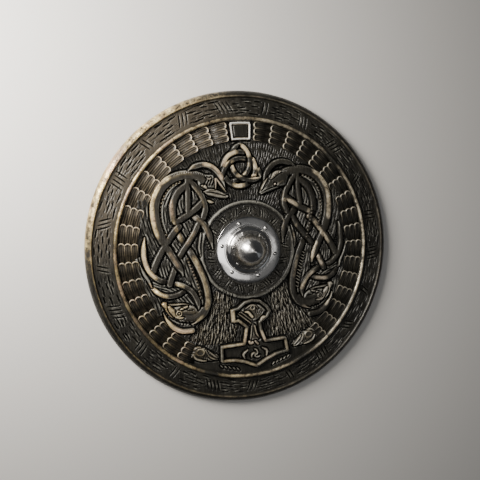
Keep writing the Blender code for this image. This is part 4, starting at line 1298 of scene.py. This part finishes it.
def nail_iron():
    f = Finish("dark_nail_iron")
    rust = f.noise(300.0, 4.0)
    return f.paint({
        "Base Color": f.mix(f.span(rust, 0.35, 0.7), (0.10, 0.095, 0.09), (0.16, 0.09, 0.05)),
        "Metallic": 1.0,
        "Roughness": f.span(rust, 0.3, 0.7, 0.40, 0.70),
        "Normal": f.bump(rust, 0.0002, 0.6),
    })


# ---- scales, pearls and rivets, set out by geometry nodes -----------------------------------------------

class Layout(Nodes):
    """A geometry node group with named inputs, ending in Realize Instances and Set Material."""

    def __init__(self, name, material, sizes):
        super().__init__(bpy.data.node_groups.new(name, "GeometryNodeTree"))
        face = self.tree.interface
        for way in ("INPUT", "OUTPUT"):
            face.new_socket("Geometry", in_out=way, socket_type="NodeSocketGeometry")
        self.values = {}
        for key, value in {**sizes, "Material": material}.items():
            kind = {int: "Int", float: "Float"}.get(type(value), "Material")
            socket = face.new_socket(key, in_out="INPUT", socket_type="NodeSocket" + kind)
            socket.default_value = value
            self.values[socket.identifier] = value
        self.given = {socket.name: Signal(self, socket) for socket in self.add("NodeGroupInput")}

    def set_out(self, points, thing, **more):
        """The same thing on every point, made real."""
        placed = self.out("GeometryNodeInstanceOnPoints", {"Points": points, "Instance": thing, **more})
        return self.out("GeometryNodeRealizeInstances", {0: placed})

    def make(self, name, source, geometry):
        """Ends the group, runs it on the source mesh and gives back a plain mesh."""
        inputs = {"Geometry": geometry, "Material": self.given["Material"]}
        self.add("NodeGroupOutput", {"Geometry": self.out("GeometryNodeSetMaterial", inputs)})
        carrier = in_scene(name + "_source", source)
        modifier = carrier.modifiers.new("layout", "NODES")
        modifier.node_group = self.tree
        for identifier, value in self.values.items():
            modifier[identifier] = value
        mesh = plain_copy(name, carrier)
        carrier.modifiers.clear()
        bpy.data.objects.remove(carrier, do_unlink=True)
        return mesh


SCALE_PITCH, SCALE_LANES, SCALE_ROWS, SCALE_START = math.radians(8.37), 3, 17, math.radians(6.4)
SCALE_MIDDLE = (FIELD_OUT + RING_IN) / 2
SCALE_LANE = (RING_IN - FIELD_OUT) / SCALE_LANES
SCALE_LIFT, SCALE_WALL, SCALE_NOTCH, SCALE_RIDGE, SCALE_SKIRT = 0.0026, 0.0022, 0.0016, 0.0008, 0.0040
PEARL_PITCH, PEARL_RADIUS, PEARL_FLATTEN, PEARL_LIFT = 0.0087, 0.0033, 0.75, 0.0014


def one_scale():
    """A scale lying along X with its rounded free end at the origin: a raised lip and side walls that sink
    away towards its root, round two shallow channels."""
    length = SCALE_PITCH * SCALE_MIDDLE * 1.05
    half = SCALE_LANE * 0.5
    step, v = np.meshgrid((0.0, 0.0007, 0.0020, 0.0042, 0.0090, 0.0150, length),
                          (-1.0, -0.88, -0.68, -0.34, 0.0, 0.34, 0.68, 0.88, 1.0), indexing="ij")
    run, side = step / length, np.abs(v)
    start = half * 0.95 * (1 - np.sqrt(1 - side ** 2 * 0.98))
    walled = ramp(side, 0.66, 0.88) * (1 - run) ** 1.2
    behind = ramp(step, 0.0018, 0.0042)
    ridged = side == 0.34
    within = side < 0.80
    z = SCALE_LIFT * (1 - run) + SCALE_WALL * walled - SCALE_NOTCH * (side == 1.0)
    z += within * (SCALE_RIDGE * (ridged - 0.5) * behind + SCALE_WALL * (1 - behind))
    z[0] = -0.0034
    proud = np.maximum(1 - behind, walled * (1 - run))
    line, hollow = behind * ridged, behind * (within & ~ridged)
    # The lip and the ridge line are rubbed and carry a painted highlight, the channels and the body behind
    # the lip get painted shade, and the lip is whitened a little, a painted highlight
    wear_and_shading = 0.40 + 0.60 * proud + 0.28 * line - 0.14 * hollow
    hollow_shade = 0.30 + 0.40 * proud + 0.14 * line - 0.05 * hollow
    finish = np.stack([wear_and_shading, hollow_shade, 0.34 * proud + 0.06 * line, 0.04 * proud], -1)
    points = np.stack([start + step * (length - start) / length, half * v, z], -1).reshape(-1, 3)
    grid = np.arange(len(points)).reshape(step.shape)
    rim = np.concatenate([grid[0], grid[1:, -1], grid[-1, -2::-1], grid[-2:0:-1, 0]])
    foot = len(points) + np.arange(len(rim))
    top = np.stack([grid[:-1, :-1], grid[1:, :-1], grid[1:, 1:], grid[:-1, 1:]], -1).reshape(-1, 4)
    skirt = np.stack([rim, np.roll(rim, -1), np.roll(foot, -1), foot], 1)
    points = np.concatenate([points, points[rim] * (1, 1, 0) - (0, 0, SCALE_SKIRT)])
    mesh = new_mesh("scale_faces", points.tolist(), [*top.tolist(), *skirt.tolist(), foot[::-1].tolist()])

    def face_outwards(builder):
        builder.from_mesh(mesh)
        bmesh.ops.recalc_face_normals(builder, faces=builder.faces)

    scale = built_mesh("one_scale", face_outwards)
    # The skirt round each scale is darkened: painted shade
    add_finish(scale, np.concatenate([finish.reshape(-1, 4), np.tile((0.2, 0.2, 0.0, 0.0), (len(rim), 1))]))
    scale.shade_smooth()
    return scale


def lay_scales(name, side, wood):
    """Rows of scales three abreast, bent round the board, the free ends towards the plaque."""
    g = Layout("lay_scales", wood, {
        "Rows": SCALE_ROWS, "Lanes": SCALE_LANES, "First Angle": SCALE_START, "Pitch": SCALE_PITCH,
        "Middle Radius": SCALE_MIDDLE, "Lane Width": SCALE_LANE, "Foot": SCALE_FLOOR + 0.0010,
        "Wobble": 0.0007, "Side": float(side), "Seed": 11,
    })
    s = g.given
    lanes, middle, wobble = s["Lanes"], s["Middle Radius"], s["Wobble"]
    points = g.out("GeometryNodePoints", {"Count": s["Rows"] * lanes})
    index = g.out("GeometryNodeInputIndex")
    row = g.math("FLOOR", (index + 0.5) / lanes)
    centred = index - row * lanes - (lanes - 1.0) / 2.0
    shift = g.parts("ShaderNodeSeparateXYZ", g.out("FunctionNodeRandomValue", {
        "Min": (-1, -1, -1), "Max": (1, 1, 1), "Seed": s["Seed"]}, "Value", data_type="FLOAT_VECTOR"))
    along = (s["First Angle"] + row * s["Pitch"]) * middle + shift[0] * wobble
    spot = g.vector(along, centred * s["Lane Width"], s["Foot"] + shift[2] * (wobble * 0.35))
    laid = g.out("GeometryNodeSetPosition", {"Geometry": points, "Position": spot})
    straight = g.set_out(laid, s["Geometry"], Rotation=g.vector(0.0, 0.0, shift[1] * 0.03))
    x, y, z = g.parts("ShaderNodeSeparateXYZ", g.out("GeometryNodeInputPosition"))
    turn = x / middle * s["Side"]
    radius = middle + y * s["Side"]
    bent = g.vector(radius * g.math("SINE", turn), radius * g.math("COSINE", turn), z)
    curved = g.out("GeometryNodeSetPosition", {"Geometry": straight, "Position": bent})
    return g.make(name, one_scale(), curved)


def paint_light_on_scales(mesh):
    """Whitens the scales at the upper left, as painted light, most on their gilded lips."""
    x, y, _ = read(mesh.vertices, "co", 3).T
    stored = mesh.attributes["finish"].data
    finish = read(stored, "color", 4)
    finish[:, 3] += lit_side_share(np.degrees(np.arctan2(x, y)), 0.60, 0.95) * (0.055 + 1.10 * finish[:, 2])
    stored.foreach_set("color", finish.ravel())


def make_scales(wood):
    for name, side in (("scales_right", 1), ("scales_left", -1)):
        mesh = lay_scales(name, side, wood)
        paint_light_on_scales(mesh)
        add_piece(name, mesh, wood, "board")


def make_pearls(grids, wood):
    """Flattened pearls strung along their rows, which follow the carved ground."""
    points, edges = [], []
    for side, row in PEARL_ROWS:
        path = smooth(shares(row, -side), 0.003)
        top = sampled(grids, path[:, 0], path[:, 1])[0]
        level = np.convolve(np.pad(top, 4, mode="edge"), np.ones(9) / 9, mode="valid")
        start = len(points)
        points += [(x, y, z + PEARL_LIFT) for (x, y), z in zip(path, level)]
        edges += [(k, k + 1) for k in range(start, len(points) - 1)]
    g = Layout("string_pearls", wood, {
        "Pitch": PEARL_PITCH, "Pearl Radius": PEARL_RADIUS, "Flatten": PEARL_FLATTEN})
    s = g.given
    string = {"Curve": g.out("GeometryNodeMeshToCurve", {0: s["Geometry"]}), "Length": s["Pitch"]}
    spots = g.out("GeometryNodeCurveToPoints", string, "Points", mode="LENGTH")
    ball = g.out("GeometryNodeMeshIcoSphere", {"Radius": s["Pearl Radius"], "Subdivisions": 2}, "Mesh")
    real = g.set_out(spots, ball, Scale=g.vector(1.0, 1.0, s["Flatten"]))
    finish = {"Geometry": real, "Name": "finish", "Value": (0.66, 0.55, 0.12, 0.0)}
    wear_and_shading = g.out("GeometryNodeStoreNamedAttribute", finish, data_type="FLOAT_COLOR", domain="POINT")
    pearls = g.make("pearls", new_mesh("pearl_lines", points, [], edges), wear_and_shading)
    pearls.shade_smooth()
    add_piece("pearls", pearls, wood, "board")


# ---- the boss and its rivets ----------------------------------------------------------------------------

PLATE = 0.0020
COLLAR_RADIUS, COLLAR_WALL, COLLAR_FILLET = 0.0600, 0.0036, 0.0022
SHOULDER_RADIUS, SHOULDER_HEIGHT, SHOULDER_FALL = 0.0576, 0.0058, 0.0015
DOME_RADIUS, DOME_FOOT, DOME_RISE, DOME_POWER = 0.0500, 0.0094, 0.0476, 2.3
DOME_FLARE, DOME_DROP, NOSE_RISE, NOSE_RADIUS = 0.0006, 0.0007, 0.0040, 0.0090
BEAD_RADIUS, BEAD_RISE, BEAD_MIDDLE = 0.0011, 0.0008, 0.0640
FLANGE_BEVEL, FLANGE_DROP, FLANGE_ROUND, FLANGE_DRAFT = 0.0042, 0.0006, 0.0012, 0.0003
RIVET_CIRCLE, RIVET_SHANK, RIVET_HEAD, RIVET_RISE, RIVET_CHEEK = 0.0715, 0.0024, 0.0052, 0.0034, 0.0004


def dome_outline(radius, foot, points):
    """From the apex down to the foot: a slight nose on a full round shell."""
    here = radius * np.sin(np.linspace(0, math.pi / 2, points + 1))
    shell = DOME_RISE * (1 - (here / radius) ** DOME_POWER)
    return list(zip(here.tolist(), (foot + shell + NOSE_RISE * np.exp(-(here / NOSE_RADIUS) ** 2)).tolist()))


def rounded(first, corner, last, points):
    """A corner of a profile turned into a curve."""
    return [tuple(a * (1 - t) ** 2 + 2 * b * t * (1 - t) + c * t * t for a, b, c in zip(first, corner, last))
            for t in np.linspace(0, 1, points)]


def half_round(middle, foot, half, rise, points):
    """A bead on a profile, from its inner edge over to its outer edge."""
    turns = [math.pi * k / points for k in range(points + 1)]
    return [(middle - half * math.cos(turn), foot + rise * math.sin(turn)) for turn in turns]


def make_boss(steel):
    """The spun dome on its low collar, with a bead at the collar's foot and a bevelled flange."""
    low = BOSS_LOW.z
    top = low + PLATE
    edge = top - FLANGE_DROP
    inside_collar = COLLAR_RADIUS - PLATE
    profile = [
        *dome_outline(DOME_RADIUS, top + DOME_FOOT, 44),
        (DOME_RADIUS + DOME_FLARE, top + DOME_FOOT - DOME_DROP),
        *rounded((SHOULDER_RADIUS - 0.0030, top + SHOULDER_HEIGHT + SHOULDER_FALL),
                 (SHOULDER_RADIUS + 0.0012, top + SHOULDER_HEIGHT - 0.0002),
                 (COLLAR_RADIUS, top + COLLAR_WALL), 7),
        *rounded((COLLAR_RADIUS, top + COLLAR_FILLET), (COLLAR_RADIUS, top),
                 (COLLAR_RADIUS + COLLAR_FILLET, top), 6),
        *half_round(BEAD_MIDDLE, top, BEAD_RADIUS, BEAD_RISE, 8),
        (FLANGE_RADIUS - FLANGE_BEVEL, top),
        *rounded((FLANGE_RADIUS - FLANGE_ROUND, edge), (FLANGE_RADIUS, edge),
                 (FLANGE_RADIUS, edge - 0.0010), 5),
        (FLANGE_RADIUS - FLANGE_DRAFT, low),
        (inside_collar + COLLAR_FILLET * 0.6, low),
        (inside_collar, low + COLLAR_FILLET * 0.6),
        (inside_collar, top + COLLAR_WALL - PLATE),
        (SHOULDER_RADIUS - PLATE, top + SHOULDER_HEIGHT - PLATE),
        *reversed(dome_outline(DOME_RADIUS - PLATE, top + DOME_FOOT - PLATE, 24)),
    ]
    add_piece("boss_shell", turned_mesh("boss_shell", profile, 240), steel, "boss")


def make_rivets(steel):
    """A domed rivet turned once and set out round the flange."""
    names = rivet_names()
    first = middle_of(names[0])
    low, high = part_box(names[0])
    foot = high.z - RIVET_RISE - RIVET_CHEEK
    cheek = foot + RIVET_CHEEK
    profile = [(0.0, low.z), (RIVET_SHANK * 0.8, low.z), (RIVET_SHANK, low.z + 0.0006), (RIVET_SHANK, foot),
               (RIVET_HEAD, foot), (RIVET_HEAD, cheek)]
    for k in range(1, 8):
        turn = math.pi / 2 * k / 8
        profile.append((RIVET_HEAD * math.cos(turn), cheek + RIVET_RISE * math.sin(turn)))
    profile.append((0.0, cheek + RIVET_RISE))
    g = Layout("set_rivets", steel, {"Count": len(names), "Circle": RIVET_CIRCLE,
                                     "First Angle": math.atan2(first.y, first.x)})
    s = g.given
    circle = g.out("GeometryNodeMeshCircle", {"Vertices": s["Count"], "Radius": s["Circle"]})
    turned = g.out("GeometryNodeTransform", {"Geometry": g.set_out(circle, s["Geometry"]),
                                             "Rotation": g.vector(0.0, 0.0, s["First Angle"])})
    mesh = g.make("boss_rivets", turned_mesh("rivet", profile, 28), turned)
    add_piece("boss_rivets", mesh, steel, names)


# ---- studio ---------------------------------------------------------------------------------------------

WARM = (1.0, 0.98, 0.96)
# Each light's place, what it is aimed at, its size, power and tint
LIGHTS = {
    "key_softbox": ((-0.92, 0.64, 0.60), (-0.05, 0.0, 0.0), (0.60, 0.60), 36.0, (1.0, 0.95, 0.88)),
    "side_softbox": ((-0.95, 0.30, 1.20), (0.0, 0.0, 0.0), (1.0, 1.5), 2.2, (1.0, 0.98, 0.94)),
    "fill_softbox": ((1.7, -1.3, 1.1), (0.0, 0.0, 0.0), (1.2, 1.2), 1.0, (0.90, 0.95, 1.0)),
    "low_card": ((-0.72, 0.92, 0.38), (0.0, 0.0, 0.03), (1.3, 0.30), 2.2, (1.0, 0.97, 0.93)),
    "bright_card": ((0.075, -0.115, 1.17), (0.075, -0.115, 0.0), (0.35, 0.25), 0.85, WARM),
    "grey_card": ((0.162, -0.345, 1.17), (0.162, -0.345, 0.0), (0.325, 0.21), 0.22, WARM),
    "far_card": ((0.545, -0.115, 1.17), (0.545, -0.115, 0.0), (0.17, 0.15), 0.055, WARM),
    "dim_card": ((0.33, -0.13, 1.19), (0.33, -0.13, 0.0), (0.80, 0.80), 0.17, WARM),
}
LENS, SENSOR, SHIFT_X, SHIFT_Y = 35.25, 36.0, -0.0191, 0.0209
CAMERA_AIM, CAMERA_DISTANCE = Vector((0.0, 0.0, 0.020)), 1.205
CAMERA_BACK, CAMERA_UP = Vector((-0.2793, 0.1075, 0.9542)), Vector((0.0698, 0.9976, 0.0))


def make_floor():
    material = Finish("pale_floor").paint({"Base Color": (0.72, 0.71, 0.69), "Roughness": 0.9})
    corners = [(-6, -6, -0.0002), (6, -6, -0.0002), (6, 6, -0.0002), (-6, 6, -0.0002)]
    floor = in_scene("floor", new_mesh("floor", corners, [(0, 1, 2, 3)]))
    floor.data.materials.append(material)


def make_lights():
    for name, (place, aim, size, power, tint) in LIGHTS.items():
        light = bpy.data.lights.new(name, "AREA")
        light.shape = "RECTANGLE"
        light.size, light.size_y = size
        light.energy = power
        light.color = tint
        lamp = in_scene(name, light)
        lamp.location = place
        lamp.rotation_euler = (Vector(aim) - Vector(place)).to_track_quat("-Z", "Y").to_euler()
    world = bpy.data.worlds.new("studio")
    world.use_nodes = True
    background = world.node_tree.nodes["Background"].inputs
    background["Color"].default_value = (0.80, 0.82, 0.85, 1.0)
    background["Strength"].default_value = 0.05
    bpy.context.scene.world = world


def make_camera():
    data = bpy.data.cameras.new("camera")
    data.lens = LENS
    data.sensor_width = SENSOR
    data.shift_x = SHIFT_X
    data.shift_y = SHIFT_Y
    data.clip_start = 0.05
    data.clip_end = 50.0
    camera = in_scene("camera", data)
    back = CAMERA_BACK.normalized()
    up = (CAMERA_UP - back * CAMERA_UP.dot(back)).normalized()
    turn = Matrix((up.cross(back), up, back)).transposed().to_4x4()
    camera.matrix_world = Matrix.Translation(CAMERA_AIM + back * CAMERA_DISTANCE) @ turn
    bpy.context.scene.camera = camera


def dress(node, material):
    """Gives a CAD node that keeps its own shape a better material."""
    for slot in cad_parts[node].material_slots:
        slot.material = material


def main():
    grids = carve_board()
    wood = carved_wood()
    make_board(grids, wood)
    make_scales(wood)
    make_pearls(grids, wood)
    make_boss(polished_steel())
    make_rivets(rivet_steel())
    dress("grip", grip_wood())
    iron = nail_iron()
    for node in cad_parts:
        if node.startswith("grip_nail_"):
            dress(node, iron)
    make_floor()
    make_lights()
    make_camera()


main()
